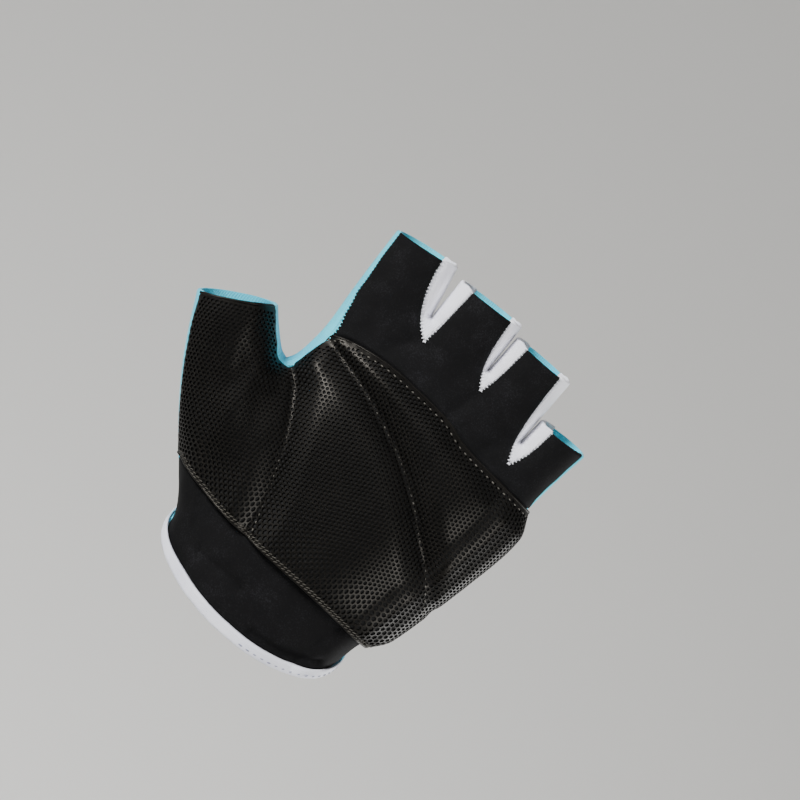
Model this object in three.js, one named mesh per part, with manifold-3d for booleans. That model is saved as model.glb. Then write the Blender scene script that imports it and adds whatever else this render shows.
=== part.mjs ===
// A fingerless cycling glove for the left hand, open and hollow, with the shape that a hand gives it.
// Millimetres, +Z up from the wrist to the fingertips, palm towards -Y, thumb towards -X.
// The origin is the middle of the wrist opening. Heights below are drawn from the palm's crease at the
// wrist, CUFF_SIDE lower, and the finished pieces are set down by that much.
//
// The form is a cut pattern that has been filled: six side seams drawn in plan (seen from the palm)
// bound a front and a back sheet, which stand apart by the thickness of the hand. Five sleeves, from
// the thumb to the little finger, lie side by side like the teeth of a comb, and share the palm.
import * as THREE from "three";
import { mergeVertices } from "three/addons/utils/BufferGeometryUtils.js";
import Module from "manifold-3d";

const wasm = await Module();
wasm.setup();

// Cloth: its wall, the gap between neighbouring panels, and how far the perforated cloth lies proud
const WALL = 1.5;
const SEAM_GAP = 0.3;
const TOLERANCE = 0.01;
const OVERLAY = 0.7;

// Cuff: its width, the height of its sides, and how far its hem dips in the palm and rises on the back
const CUFF_WIDTH = 68;
const CUFF_SIDE = 4;
const HEM_DIP = 12.6;
const HEM_FADE = 26;
const BINDING_WIDTH = 3.8;
const BINDING_PROUD = 0.8;

// Sleeves: the width of each opening and the height of its middle, for the thumb above its web
const THUMB_WIDTH = 24.3;
const INDEX_WIDTH = 21.6;
const MIDDLE_WIDTH = 23.4;
const RING_WIDTH = 21.4;
const LITTLE_WIDTH = 17.4;
const THUMB_ABOVE_WEB = 3.8;
const INDEX_TOP = 118.4;
const MIDDLE_TOP = 119.2;
const RING_TOP = 117.4;
const LITTLE_TOP = 104.2;

// Where the openings stand: the reach of the thumb, the middle finger and the gaps to its neighbours
const THUMB_REACH = 64;
const MIDDLE_OFFSET = -6.4;
const INDEX_GAP = 3.2;
const RING_GAP = 0.9;
const LITTLE_GAP = 1.1;
const OPENING_SLOPE = 0.13;

// Slits between the fingers, the web of the thumb, the knuckles, and the bow of the thumb's outer seam
const SLIT_DEPTH = 15.2;
const LITTLE_SLIT_DEPTH = 9.4;
const WEB_HEIGHT = 64.8;
const KNUCKLE_REACH = 39;
const PALM_REACH = 45;
const THUMB_BOW = 3;
const WEB_SHIFT = 2.2;

// Filling: the radius of the sides, the rise of the palm above it, and the pose of the hand
const SIDE_RADIUS = 9.8;
const PALM_RISE = 4.4;
const RISE_REACH = 11;
const HEEL_SWELL = 0.5;
const WRIST_BEND = 6;
const FINGER_CURL = 3;
const THUMB_FORWARD = 12;

// Palm panel of perforated cloth: the heights of its lower and upper edge and the swell of its pads
const PANEL_BOTTOM = 17.2;
const PANEL_TOP = 82;
const PAD_HEIGHT = 3.6;
const PAD_EDGE = 9;

// How finely the sheets are drawn: strips in a sleeve and the step of its rows
const OUTER = { strips: 6, step: 6 };
const PADDED = { strips: 11, step: 3 };
const INNER = { strips: 5, step: 9 };

// Lean of each opening in degrees, towards the little finger
const THUMB_LEAN = -32;
const INDEX_LEAN = -10;
const MIDDLE_LEAN = -5;
const RING_LEAN = -2;
const LITTLE_LEAN = -4;

// The little-finger side of the palm, from the cuff up: height as a share of the way to that finger's
// slit, and reach as a share of the palm's
const ULNAR_SIDE = [
  { up: 0.09, reach: 0.755 },
  { up: 0.17, reach: 0.785 },
  { up: 0.26, reach: 0.845 },
  { up: 0.38, reach: 0.895 },
  { up: 0.56, reach: 0.955 },
  { up: 0.71, reach: 0.995 },
  { up: 0.84, reach: 0.99 },
];

// Lines that quilt the palm panel: across as a share of the palm's reach, up as a share of the panel
const THENAR_LINE = [
  { across: -0.86, up: 0.72 },
  { across: -0.75, up: 0.68 },
  { across: -0.57, up: 0.51 },
  { across: -0.47, up: 0.37 },
  { across: -0.36, up: 0.2 },
  { across: -0.24, up: -0.03 },
];
const HEART_LINE = [
  { across: -0.76, up: 0.93 },
  { across: -0.55, up: 0.9 },
  { across: -0.31, up: 0.86 },
  { across: -0.06, up: 0.8 },
  { across: 0.15, up: 0.74 },
  { across: 0.37, up: 0.65 },
  { across: 0.58, up: 0.54 },
  { across: 0.74, up: 0.46 },
  { across: 0.86, up: 0.37 },
  { across: 0.96, up: 0.28 },
];

// Upper and lower edge of the palm panel: across as above, up in millimetres from its named height
const UPPER_EDGE = [
  { across: -0.86, up: -4.6 },
  { across: -0.76, up: -1.8 },
  { across: -0.62, up: 0.6 },
  { across: -0.36, up: 2.8 },
  { across: -0.1, up: 3.1 },
  { across: 0.18, up: 2.6 },
  { across: 0.36, up: 0.6 },
  { across: 0.6, up: -0.2 },
  { across: 1.02, up: -0.9 },
];
const LOWER_EDGE = [
  { across: -1.0, up: 3.6 },
  { across: -0.8, up: 1.8 },
  { across: -0.52, up: 0.5 },
  { across: -0.1, up: 0.3 },
  { across: 0.34, up: 0.4 },
  { across: 0.84, up: -1.1 },
];

// White gussets in the three finger slits: how far each shows beside the slit at the openings, and
// where its point lies below the foot of the slit
const GUSSETS = [
  { name: "fourchette_index_middle", left: 4.6, right: 4.9, drop: 7.2, aside: 3.6 },
  { name: "fourchette_middle_ring", left: 3.4, right: 4.3, drop: 6.4, aside: 2.4 },
  { name: "fourchette_ring_little", left: 3.4, right: 4.6, drop: 7.6, aside: 1.4 },
];

// The seam between palm and back: how far round from the side, in degrees towards the palm, it runs
// at stations of the outline
const SIDE_SEAM = [
  { x: -33, z: 8, round: 24 },
  { x: -56, z: 33, round: 29 },
  { x: -74, z: 61, round: 29 },
  { x: -52, z: 73, round: 8 },
  { x: -46, z: 68, round: 12 },
  { x: -41, z: 65, round: 48 },
  { x: -39, z: 73, round: 56 },
  { x: -39, z: 81, round: 45 },
  { x: -41, z: 93, round: 31 },
  { x: -43, z: 113, round: 29 },
  { x: -18, z: 104, round: 0 },
  { x: -20, z: 118, round: 0 },
  { x: 6, z: 104, round: 0 },
  { x: 5, z: 118, round: 0 },
  { x: 28, z: 96, round: 0 },
  { x: 27, z: 116, round: 0 },
  { x: 46, z: 103, round: 22 },
  { x: 44, z: 88, round: 20 },
  { x: 45, z: 76, round: -8 },
  { x: 42, z: 45, round: -12 },
  { x: 35, z: 14, round: 4 },
];

// Folds of the palm side: a line in plan, its depth and half its width
const FOLDS = [
  { name: "heel crease", x1: -24, z1: 7, x2: -2, z2: 4.5, depth: 1.1, reach: 2.6 },
  { name: "cuff fold", x1: 8, z1: 9, x2: 27, z2: 11, depth: 0.9, reach: 2.8 },
  { name: "knuckle fold under the middle slit", x1: 9, z1: 96, x2: 7, z2: 87, depth: 0.9, reach: 2.2 },
  { name: "knuckle fold under the ring slit", x1: 25, z1: 93, x2: 22, z2: 85, depth: 0.8, reach: 2.2 },
  { name: "knuckle fold under the index slit", x1: -15, z1: 96, x2: -20, z2: 88, depth: 0.8, reach: 2.4 },
];

// Colours as sRGB, with the roughness of each cloth
const CLOTHS = {
  perforated: { color: 0x1b191c, roughness: 0.5 },
  suede: { color: 0x0e0e12, roughness: 0.9 },
  lycra: { color: 0x52c7dd, roughness: 0.65 },
  gusset: { color: 0xe9e9f2, roughness: 0.75 },
  tape: { color: 0xdfe1ee, roughness: 0.8 },
};

const radians = (degrees) => (degrees * Math.PI) / 180;
const mix = (a, b, share) => a + (b - a) * share;
const clamp = (value) => Math.min(1, Math.max(0, value));
const ease = (value) => clamp(value) ** 2 * (3 - 2 * clamp(value));
const plan = (x, z) => new THREE.Vector2(x, z);
const halfCuff = CUFF_WIDTH / 2;

// An opening: the two ends of its line and the way out of the sleeve
function opening(x, z, width, lean) {
  const across = plan(Math.cos(radians(lean)), -Math.sin(radians(lean))).multiplyScalar(width / 2);
  const middle = plan(x, z);
  return {
    middle,
    left: middle.clone().sub(across),
    right: middle.clone().add(across),
    out: plan(Math.sin(radians(lean)), Math.cos(radians(lean))),
  };
}

const indexX = MIDDLE_OFFSET - MIDDLE_WIDTH / 2 - INDEX_GAP - INDEX_WIDTH / 2;
const ringX = MIDDLE_OFFSET + MIDDLE_WIDTH / 2 + RING_GAP + RING_WIDTH / 2;
const littleX = ringX + RING_WIDTH / 2 + LITTLE_GAP + LITTLE_WIDTH / 2;
const openings = [
  opening(-THUMB_REACH, WEB_HEIGHT + THUMB_ABOVE_WEB, THUMB_WIDTH, THUMB_LEAN),
  opening(indexX, INDEX_TOP, INDEX_WIDTH, INDEX_LEAN),
  opening(MIDDLE_OFFSET, MIDDLE_TOP, MIDDLE_WIDTH, MIDDLE_LEAN),
  opening(ringX, RING_TOP, RING_WIDTH, RING_LEAN),
  opening(littleX, LITTLE_TOP, LITTLE_WIDTH, LITTLE_LEAN),
];

// The feet of the slits: the web of the thumb, then the three between the fingers
const slitFloor = MIDDLE_TOP - SLIT_DEPTH;
const between = (k, z, aside) => plan((openings[k].right.x + openings[k + 1].left.x) / 2 + aside, z);
const feet = [
  plan(-KNUCKLE_REACH - WEB_SHIFT, WEB_HEIGHT),
  between(1, slitFloor, 2.6),
  between(2, slitFloor, 0.8),
  between(3, LITTLE_TOP - LITTLE_SLIT_DEPTH, 0.6),
];

// Side seams, each drawn upwards, so that it has one place for each height
const POINTS_PER_BEND = 10;
const smooth = (points) => new THREE.SplineCurve(points).getPoints(points.length * POINTS_PER_BEND);

function thumbOuterSeam() {
  const corner = openings[0].left;
  const start = plan(-halfCuff - 1.6, CUFF_SIDE + 7);
  const aside = corner.clone().sub(start).normalize().rotateAround(plan(0, 0), Math.PI / 2);
  const along = (share) =>
    start.clone().lerp(corner, share).addScaledVector(aside, THUMB_BOW * 4 * share * (1 - share));
  return smooth([plan(-halfCuff, CUFF_SIDE), start, along(0.3), along(0.65), corner]);
}

function thumbInnerSeam() {
  const corner = openings[0].right;
  const turn = feet[0].clone().add(plan(-2.4, 0.8));
  return smooth([feet[0], turn, turn.clone().lerp(corner, 0.48).add(plan(0, -0.4)), corner]);
}

function indexOuterSeam() {
  const corner = openings[1].left;
  const height = (share) => mix(feet[0].y, corner.y, share);
  return smooth([
    feet[0],
    plan(-KNUCKLE_REACH - 0.7, height(0.06)),
    plan(-KNUCKLE_REACH, height(0.17)),
    plan(-KNUCKLE_REACH, height(0.32)),
    plan(mix(-KNUCKLE_REACH, corner.x, 0.4), height(0.55)),
    plan(mix(-KNUCKLE_REACH, corner.x, 0.75), height(0.8)),
    corner,
  ]);
}

function ulnarSeam() {
  const palm = ULNAR_SIDE.map(({ up, reach }) => plan(reach * PALM_REACH, up * feet[3].y));
  const corner = openings[4].right;
  const last = palm[palm.length - 1];
  const knuckle = plan(mix(last.x, corner.x, 0.3), mix(last.y, corner.y, 0.5));
  return smooth([plan(halfCuff, CUFF_SIDE), ...palm, knuckle, corner]);
}

const straight = (foot, corner) => [foot, corner];
const leftSeams = [
  thumbOuterSeam(),
  indexOuterSeam(),
  straight(feet[1], openings[2].left),
  straight(feet[2], openings[3].left),
  straight(feet[3], openings[4].left),
];
const rightSeams = [
  thumbInnerSeam(),
  straight(feet[1], openings[1].right),
  straight(feet[2], openings[2].right),
  straight(feet[3], openings[3].right),
  ulnarSeam(),
];

// The place of a seam at a height
function seamAt(seam, z) {
  let i = 1;
  while (i < seam.length - 1 && seam[i].y < z) i++;
  return plan(mix(seam[i - 1].x, seam[i].x, (z - seam[i - 1].y) / (seam[i].y - seam[i - 1].y)), z);
}

// Lines that part the sleeves below their slits, fanning out from the cuff to the feet
const CUFF_SHARES = [0.22, 0.42, 0.62, 0.81];

function partingAt(k, z) {
  const share = clamp((z - CUFF_SIDE) / (feet[k].y - CUFF_SIDE));
  return plan(mix(mix(-halfCuff, halfCuff, CUFF_SHARES[k]), feet[k].x, share ** 1.5), z);
}

// The row of a sleeve where its last slit begins; above it, rows turn to the lean of the opening
const beds = openings.map((_, k) => Math.max(feet[k - 1]?.y ?? 0, feet[k]?.y ?? 0));

// On the thumb's outer seam, rows run back to the cuff as those of the palm do, but more slowly
const THUMB_OUTER_SHARE = 0.735;
const outerRow = (v) => CUFF_SIDE + (v - CUFF_SIDE) * THUMB_OUTER_SHARE;

// One side of a sleeve at row v (a height in the palm), and whether it is an open edge there
function sidePoint(k, side, v) {
  const seam = side === "left" ? leftSeams[k] : rightSeams[k];
  const gate = openings[k];
  const corner = side === "left" ? gate.left : gate.right;
  const top = gate.middle.y;
  const isOutline = (k === 0 && side === "left") || (k === 4 && side === "right");
  const slit = side === "left" ? k - 1 : k;
  const height = (value) => (k === 0 && side === "left" ? outerRow(value) : value);
  if (v > top) return corner.clone().addScaledVector(gate.out, v - top);
  if (v > beds[k]) return seamAt(seam, mix(height(beds[k]), corner.y, (v - beds[k]) / (top - beds[k])));
  if (!isOutline && v <= feet[slit].y) return partingAt(slit, v);
  if (v < CUFF_SIDE) return plan(seam[0].x, v);
  return seamAt(seam, height(v));
}

function isEdge(k, side, v) {
  if ((k === 0 && side === "left") || (k === 4 && side === "right")) return true;
  return v >= feet[side === "left" ? k - 1 : k].y;
}

// The six side seams as runs of segments, each running on past its openings and the cuff
const RUN_ON = 30;

function runs(points) {
  const past = (end, before) => end.clone().sub(before).setLength(RUN_ON).add(end);
  const last = points.length - 1;
  const all = [past(points[0], points[1]), ...points, past(points[last], points[last - 1])];
  return all.slice(1).map((b, i) => [all[i], b]);
}

const upAndOver = (down, up) => [...down.slice().reverse(), ...up.slice(1)];
const sideSeams = [
  runs([plan(-halfCuff, -RUN_ON), ...leftSeams[0]]),
  ...feet.map((_, k) => runs(upAndOver(rightSeams[k], leftSeams[k + 1]))),
  runs([plan(halfCuff, -RUN_ON), ...rightSeams[4]]),
];

function distanceToRun(p, run) {
  let best = Infinity;
  for (const [a, b] of run) {
    const dx = b.x - a.x;
    const dz = b.y - a.y;
    const share = clamp(((p.x - a.x) * dx + (p.y - a.y) * dz) / (dx * dx + dz * dz));
    best = Math.min(best, Math.hypot(p.x - a.x - share * dx, p.y - a.y - share * dz));
  }
  return best;
}

// How far inside the side seams a place lies; where two are near, they blend
const BLEND = 0.9;
const distances = (p) => sideSeams.map((run) => distanceToRun(p, run));
const blended = (away) => -BLEND * Math.log(away.reduce((sum, d) => sum + Math.exp(-d / BLEND), 0));

// Share of the side's roundness left at a place: 1 on a side seam, 0 where the hand is full
const sideShare = (inside) => Math.max(0, 1 - inside / SIDE_RADIUS);

// The way out of the pattern from a place: from the nearest side seam
const PROBE = 0.05;

function wayOut(p) {
  const here = blended(distances(p));
  const right = blended(distances(plan(p.x + PROBE, p.y)));
  const up = blended(distances(plan(p.x, p.y + PROBE)));
  const way = plan(here - right, here - up);
  return way.length() > 0 ? way.normalize() : way;
}

// Half the thickness of the hand at a place in plan, for cloth lifted off it by so much
function halfThickness(p, lift) {
  const away = distances(p);
  const fullness = Math.sqrt(1 - sideShare(blended(away)) ** 2);
  const full = (d) => 1 - Math.exp(-((Math.max(0, d - SIDE_RADIUS) / RISE_REACH) ** 2));
  const rise = Math.sqrt(away.reduce((all, d) => all * full(d), 1));
  const heel = 1 - ease((p.y - CUFF_SIDE) / (WEB_HEIGHT + SIDE_RADIUS));
  return (SIDE_RADIUS * fullness + PALM_RISE * rise) * (1 + HEEL_SWELL * heel) + lift * fullness;
}

// The sheet half-way through the hand: it bends at the wrist, the fingers curl, the thumb stands forward
const thumbWay = openings[0].left.clone().sub(plan(-halfCuff, CUFF_SIDE)).normalize();
const thumbStart = plan(-halfCuff, CUFF_SIDE).dot(thumbWay);
const thumbEnd = openings[0].middle.dot(thumbWay);
const fromWeb = plan(-Math.cos(radians(21)), -Math.sin(radians(21)));

const thumbShare = (p) => ease((p.dot(thumbWay) - thumbStart) / (thumbEnd - thumbStart));
const thumbSideShare = (p) => ease((p.clone().sub(feet[0]).dot(fromWeb) + 2.5) / (THUMB_WIDTH * 0.7));

function middleY(p) {
  const bend = WRIST_BEND * ease((p.y - CUFF_SIDE) / WEB_HEIGHT);
  const curl = FINGER_CURL * ease((p.y - PANEL_TOP) / (MIDDLE_TOP - PANEL_TOP));
  return -bend - curl - THUMB_FORWARD * thumbShare(p) * thumbSideShare(p);
}

// Distance in plan to an open line, and the lines drawn through the rows of a table
const distanceToLine = (p, line) => distanceToRun(p, line.slice(1).map((b, i) => [line[i], b]));

const panelHeight = (up) => mix(PANEL_BOTTOM, PANEL_TOP, up);
const lineOf = (rows, height) => smooth(rows.map(({ across, up }) => plan(across * PALM_REACH, height(up))));
const quiltLine = (rows) => lineOf(rows, panelHeight);
const edgeLine = (rows, base) => lineOf(rows, (up) => base + up);
const quilting = [quiltLine(THENAR_LINE), quiltLine(HEART_LINE)];
const upperEdge = edgeLine(UPPER_EDGE, PANEL_TOP);
const lowerEdge = edgeLine(LOWER_EDGE, PANEL_BOTTOM);

// Swell of the pads: full in the middle of each lobe, nothing at a quilting line, at the panel's edges
// and out on the thumb. The quilting is shallow where it runs out at the side of the palm.
const QUILT_RUN_OUT = 6;

function padSwell(p) {
  const runOut = QUILT_RUN_OUT * (1 - ease(distanceToRun(p, sideSeams[5]) / SIDE_RADIUS));
  const quilted = quilting.map((line) => distanceToLine(p, line) + runOut);
  const near = Math.min(...quilted, ...[upperEdge, lowerEdge].map((line) => distanceToLine(p, line)));
  const lobe = ease(near / PAD_EDGE);
  const within = p.y > PANEL_BOTTOM && p.y < PANEL_TOP + 3.5 ? 1 : 0;
  const thumb = 1 - ease((thumbShare(p) * thumbSideShare(p) - 0.25) / 0.5);
  const clear = (run) => ease(distanceToRun(p, run) / SIDE_RADIUS);
  return PAD_HEIGHT * lobe * within * thumb * clear(sideSeams[0]) * clear(sideSeams[1]);
}

function foldDepth(p) {
  return FOLDS.reduce((sum, { x1, z1, x2, z2, depth, reach }) => {
    const d = distanceToLine(p, [plan(x1, z1), plan(x2, z2)]);
    return sum + depth * Math.exp(-((d / reach) ** 2));
  }, 0);
}

// Rows of a sleeve, from row `from` up to `to`, closing up just below the foot of each slit
const NEAR_FOOT = [5, 2.2];

function rowsOf(k, from, to, step) {
  const levels = [from, ...new Set([...feet.map((foot) => foot.y).sort((a, b) => a - b), beds[k]])]
    .filter((level) => level >= from && level <= beds[k]);
  const rows = [];
  const fill = (low, high, closing) => {
    const count = Math.max(1, Math.round((high - closing - low) / step));
    for (let i = 0; i < count; i++) rows.push(mix(low, high - closing, i / count));
  };
  levels.slice(1).forEach((level, i) => {
    const closing = level - levels[i] > 2 * NEAR_FOOT[0] ? NEAR_FOOT : [];
    fill(levels[i], level, closing[0] ?? 0);
    rows.push(...closing.map((below) => level - below));
  });
  fill(beds[k], openings[k].middle.y, 0);
  rows.push(openings[k].middle.y);
  if (to > openings[k].middle.y) rows.push(to);
  return rows;
}

// Place of a strip's edge across a sleeve: strips narrow towards an open edge
const EDGE_FADE = 14;

function acrossShare(k, v, share) {
  const side = share < 0.5 ? "left" : "right";
  const foot = feet[side === "left" ? k - 1 : k];
  const near = isEdge(k, side, v) ? 1 : 1 - ease((foot.y - v) / EDGE_FADE);
  return mix(share, (1 - Math.cos(Math.PI * share)) / 2, near);
}

// The way out of the pattern at an open edge: up from the foot of a slit, else square to the edge
function edgeWay(k, side, v) {
  const foot = feet[side === "left" ? k - 1 : k];
  if (foot && v === foot.y) return plan(0, 1);
  const way = sidePoint(k, side, v + PROBE).sub(sidePoint(k, side, v)).normalize();
  return side === "left" ? plan(-way.y, way.x) : plan(way.y, -way.x);
}

// How far the hem's dip lowers the palm and raises the back at row v: an arc across the glove
function dipAt(v, x) {
  const left = sidePoint(0, "left", v).x;
  const right = sidePoint(4, "right", v).x;
  const share = clamp((x - left) / (right - left));
  const fade = 1 - ease((v - CUFF_SIDE - BINDING_WIDTH) / HEM_FADE);
  return HEM_DIP * 2 * Math.sqrt(share * (1 - share)) * fade;
}

// A point of the front or back sheet: sleeve k, row v, share of the way across
function sheetPoint(k, v, share, face, cloth) {
  const left = sidePoint(k, "left", v);
  const right = sidePoint(k, "right", v);
  const q = share === 1 ? right : left.lerp(right, acrossShare(k, v, share));
  const side = share === 0 ? "left" : "right";
  const onEdge = (share === 0 || share === 1) && isEdge(k, side, v);
  const lift = cloth.lift(q);
  const way = onEdge ? edgeWay(k, side, v) : wayOut(q);
  const round = onEdge ? 1 : sideShare(blended(distances(q)));
  const p = q.clone().addScaledVector(way, lift * round);
  const fold = face < 0 ? foldDepth(q) : 0;
  const stand = onEdge ? 0 : face * (halfThickness(q, lift) - fold);
  const dip = onEdge ? 0 : (dipAt(v, q.x) * stand) / halfThickness(q, 0);
  const gate = openings[k];
  const slope = OPENING_SLOPE * ease((v - beds[k]) / (gate.middle.y - beds[k]));
  return new THREE.Vector3(
    p.x + gate.out.x * slope * stand,
    middleY(q) + stand,
    p.y + dip + gate.out.y * slope * stand,
  );
}

// Both sheets of all five sleeves, closed at the cuff and at the openings
function filledPattern(cloth, { strips, step }, from, past) {
  const corners = [];
  const quad = (a, b, c, d) => corners.push(a, b, c, a, c, d);
  openings.forEach((gate, k) => {
    const rows = rowsOf(k, from, gate.middle.y + past, step);
    const shares = Array.from({ length: strips + 1 }, (_, j) => j / strips);
    const sheet = (face) => rows.map((v) => shares.map((share) => sheetPoint(k, v, share, face, cloth)));
    const front = sheet(-1);
    const back = sheet(1);
    const top = rows.length - 1;
    for (let j = 0; j < strips; j++) {
      for (let i = 0; i < top; i++) {
        quad(front[i][j + 1], front[i + 1][j + 1], front[i + 1][j], front[i][j]);
        quad(back[i][j + 1], back[i][j], back[i + 1][j], back[i + 1][j + 1]);
      }
      quad(front[0][j + 1], front[0][j], back[0][j], back[0][j + 1]);
      quad(front[top][j], front[top][j + 1], back[top][j + 1], back[top][j]);
    }
  });
  return solidFrom(corners);
}

// Closed meshes made solid, their corners joined
function solidFrom(corners) {
  const geometry = new THREE.BufferGeometry().setFromPoints(corners);
  return toSolid(geometry);
}

function toSolid(geometry) {
  const bare = new THREE.BufferGeometry().setAttribute("position", geometry.getAttribute("position"));
  if (geometry.index) bare.setIndex(geometry.index);
  const merged = mergeVertices(bare, 1e-4);
  const index = merged.index.array;
  const kept = [];
  for (let i = 0; i < index.length; i += 3) {
    const [a, b, c] = [index[i], index[i + 1], index[i + 2]];
    if (a !== b && b !== c && c !== a) kept.push(a, b, c);
  }
  const mesh = new wasm.Mesh({
    numProp: 3,
    vertProperties: new Float32Array(merged.getAttribute("position").array),
    triVerts: new Uint32Array(kept),
    tolerance: TOLERANCE,
  });
  return new wasm.Manifold(mesh);
}

// A prism through the whole glove over an outline in plan
const THROUGH = 90;

function prism(outline) {
  const shape = new THREE.Shape(outline);
  const geometry = new THREE.ExtrudeGeometry(shape, { depth: 2 * THROUGH, bevelEnabled: false });
  geometry.rotateX(Math.PI / 2);
  geometry.translate(0, THROUGH, 0);
  return toSolid(geometry);
}

// How far round the side seam runs near a place, from the nearest stations
function seamRound(p) {
  let sum = 0;
  let weight = 0;
  for (const { x, z, round } of SIDE_SEAM) {
    const near = 1 / ((p.x - x) ** 2 + (p.y - z) ** 2 + 1) ** 2;
    sum += near * round;
    weight += near;
  }
  return sum / weight;
}

// All that lies behind the side seam, moved back by so much
const FIELD = { left: -100, right: 70, bottom: -45, top: 145, step: 8 };

function behindSeam(moved) {
  const across = Math.round((FIELD.right - FIELD.left) / FIELD.step);
  const up = Math.round((FIELD.top - FIELD.bottom) / FIELD.step);
  const at = (i, j) => plan(FIELD.left + i * FIELD.step, FIELD.bottom + j * FIELD.step);
  const near = (i, j) => {
    const p = at(i, j);
    return new THREE.Vector3(p.x, middleY(p) - SIDE_RADIUS * Math.sin(radians(seamRound(p))) + moved, p.y);
  };
  const far = (i, j) => new THREE.Vector3(at(i, j).x, THROUGH, at(i, j).y);
  const corners = [];
  const quad = (a, b, c, d) => corners.push(a, b, c, a, c, d);
  for (let i = 0; i < across; i++) {
    for (let j = 0; j < up; j++) {
      quad(near(i, j), near(i + 1, j), near(i + 1, j + 1), near(i, j + 1));
      quad(far(i + 1, j), far(i, j), far(i, j + 1), far(i + 1, j + 1));
    }
    quad(near(i + 1, 0), near(i, 0), far(i, 0), far(i + 1, 0));
    quad(near(i, up), near(i + 1, up), far(i + 1, up), far(i, up));
  }
  for (let j = 0; j < up; j++) {
    quad(near(0, j), near(0, j + 1), far(0, j + 1), far(0, j));
    quad(near(across, j + 1), near(across, j), far(across, j), far(across, j + 1));
  }
  return solidFrom(corners);
}

// The palm panel in plan, grown by so much; it takes in the thumb as far as its opening
function panelOutline(grown) {
  const lift = (line, by) => line.map((p) => plan(p.x, p.y + by));
  const upper = lift(upperEdge, grown);
  const lower = lift(lowerEdge, -grown);
  const web = upper[0];
  return [
    plan(FIELD.left, lower[0].y),
    ...lower,
    plan(FIELD.right, lower[lower.length - 1].y),
    plan(FIELD.right, upper[upper.length - 1].y),
    ...upper.slice().reverse(),
    plan(web.x - 9, web.y),
    plan(web.x - 9, FIELD.top),
    plan(FIELD.left, FIELD.top),
  ];
}

// A gusset in plan, grown by so much: from its point up both sides of the slit
function gussetOutline(k, { left, right, drop, aside }, grown) {
  const foot = feet[k];
  const tip = foot.clone().add(plan(aside, -drop - grown));
  const leftCorner = openings[k].right.clone().add(plan(-left - grown, 0));
  const rightCorner = openings[k + 1].left.clone().add(plan(right + grown, 0));
  const edge = (corner, pull) => {
    const control = plan(mix(tip.x, corner.x, pull), mix(tip.y, corner.y, 0.25));
    const bend = new THREE.QuadraticBezierCurve(tip, control, corner).getPoints(6);
    return [...bend, plan(corner.x, FIELD.top)];
  };
  return [...edge(rightCorner, 0.9), ...edge(leftCorner, 0.8).reverse()];
}

// The band that binds the cuff, a little proud of the cloth outside and inside, in the shell's strips
const BAND_INSIDE = 0.3;

function binding() {
  const parts = OUTER.strips;
  const loop = (v, lift) => {
    const cloth = { lift: () => lift };
    const front = [];
    const back = [];
    openings.forEach((_, k) => {
      for (let j = 0; j < parts; j++) front.push(sheetPoint(k, v, j / parts, -1, cloth));
      for (let j = 1; j <= parts; j++) back.unshift(sheetPoint(k, v, j / parts, 1, cloth));
    });
    return [...front, ...back];
  };
  const hem = CUFF_SIDE;
  const top = CUFF_SIDE + BINDING_WIDTH;
  const outside = BINDING_PROUD;
  const inside = -WALL - BAND_INSIDE;
  const rounded = BINDING_PROUD * 0.6;
  const loops = [
    loop(hem, outside - rounded),
    loop(hem + rounded, outside),
    loop(top - rounded, outside),
    loop(top, outside - rounded),
    loop(top, inside),
    loop(hem, inside),
  ];
  const corners = [];
  loops.forEach((low, n) => {
    const high = loops[(n + 1) % loops.length];
    low.forEach((a, i) => {
      const next = (i + 1) % low.length;
      corners.push(a, low[next], high[next], a, high[next], high[i]);
    });
  });
  return solidFrom(corners);
}

// The lifts of the cloth, its lining and the padded palm off the filled form
const flat = { lift: () => 0 };
const lining = { lift: () => -WALL };
const padded = {
  lift: (p) => OVERLAY * (1 - ease((p.y - PANEL_TOP - 4) / 8)) + padSwell(p),
};

const clothFrom = CUFF_SIDE + BINDING_WIDTH + 1.5 * SEAM_GAP;
const PAST = 8;
const hollow = filledPattern(lining, INNER, CUFF_SIDE - PAST, PAST);
const shell = filledPattern(flat, OUTER, clothFrom, 0).subtract(hollow);
const paddedShell = filledPattern(padded, PADDED, clothFrom, 0).subtract(hollow);

const behind = behindSeam(SEAM_GAP / 2);
const before = behindSeam(-SEAM_GAP / 2);
const panel = prism(panelOutline(0));
const aroundPanel = prism(panelOutline(SEAM_GAP));
const gussets = GUSSETS.map((row, i) => prism(gussetOutline(i + 1, row, 0)));
const aroundGussets = GUSSETS.map((row, i) => prism(gussetOutline(i + 1, row, SEAM_GAP)));
const withoutGussets = (solid) => aroundGussets.reduce((rest, gusset) => rest.subtract(gusset), solid);

const frontCloth = withoutGussets(shell.subtract(before).subtract(aroundPanel));
const above = prism([
  plan(FIELD.left, WEB_HEIGHT),
  plan(FIELD.right, WEB_HEIGHT),
  plan(FIELD.right, FIELD.top),
  plan(FIELD.left, FIELD.top),
]);

const glove = new THREE.Group();
glove.name = "cycling_glove";

function add(name, cloth, solid) {
  const mesh = solid.getMesh();
  const geometry = new THREE.BufferGeometry();
  geometry.setAttribute("position", new THREE.BufferAttribute(mesh.vertProperties, 3));
  geometry.setIndex(new THREE.BufferAttribute(mesh.triVerts, 1));
  geometry.translate(0, 0, -CUFF_SIDE);
  const piece = new THREE.Mesh(geometry, new THREE.MeshStandardMaterial(CLOTHS[cloth]));
  piece.name = name;
  glove.add(piece);
}

add("palm_pad_panel", "perforated", paddedShell.subtract(before).intersect(panel));
add("finger_panel", "suede", frontCloth.intersect(above));
add("heel_panel", "suede", frontCloth.subtract(above));
add("back_panel", "lycra", withoutGussets(shell.intersect(behind)));
GUSSETS.forEach(({ name }, i) => add(name, "gusset", shell.intersect(gussets[i])));
add("cuff_binding", "tape", binding());

export default glove;
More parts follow.
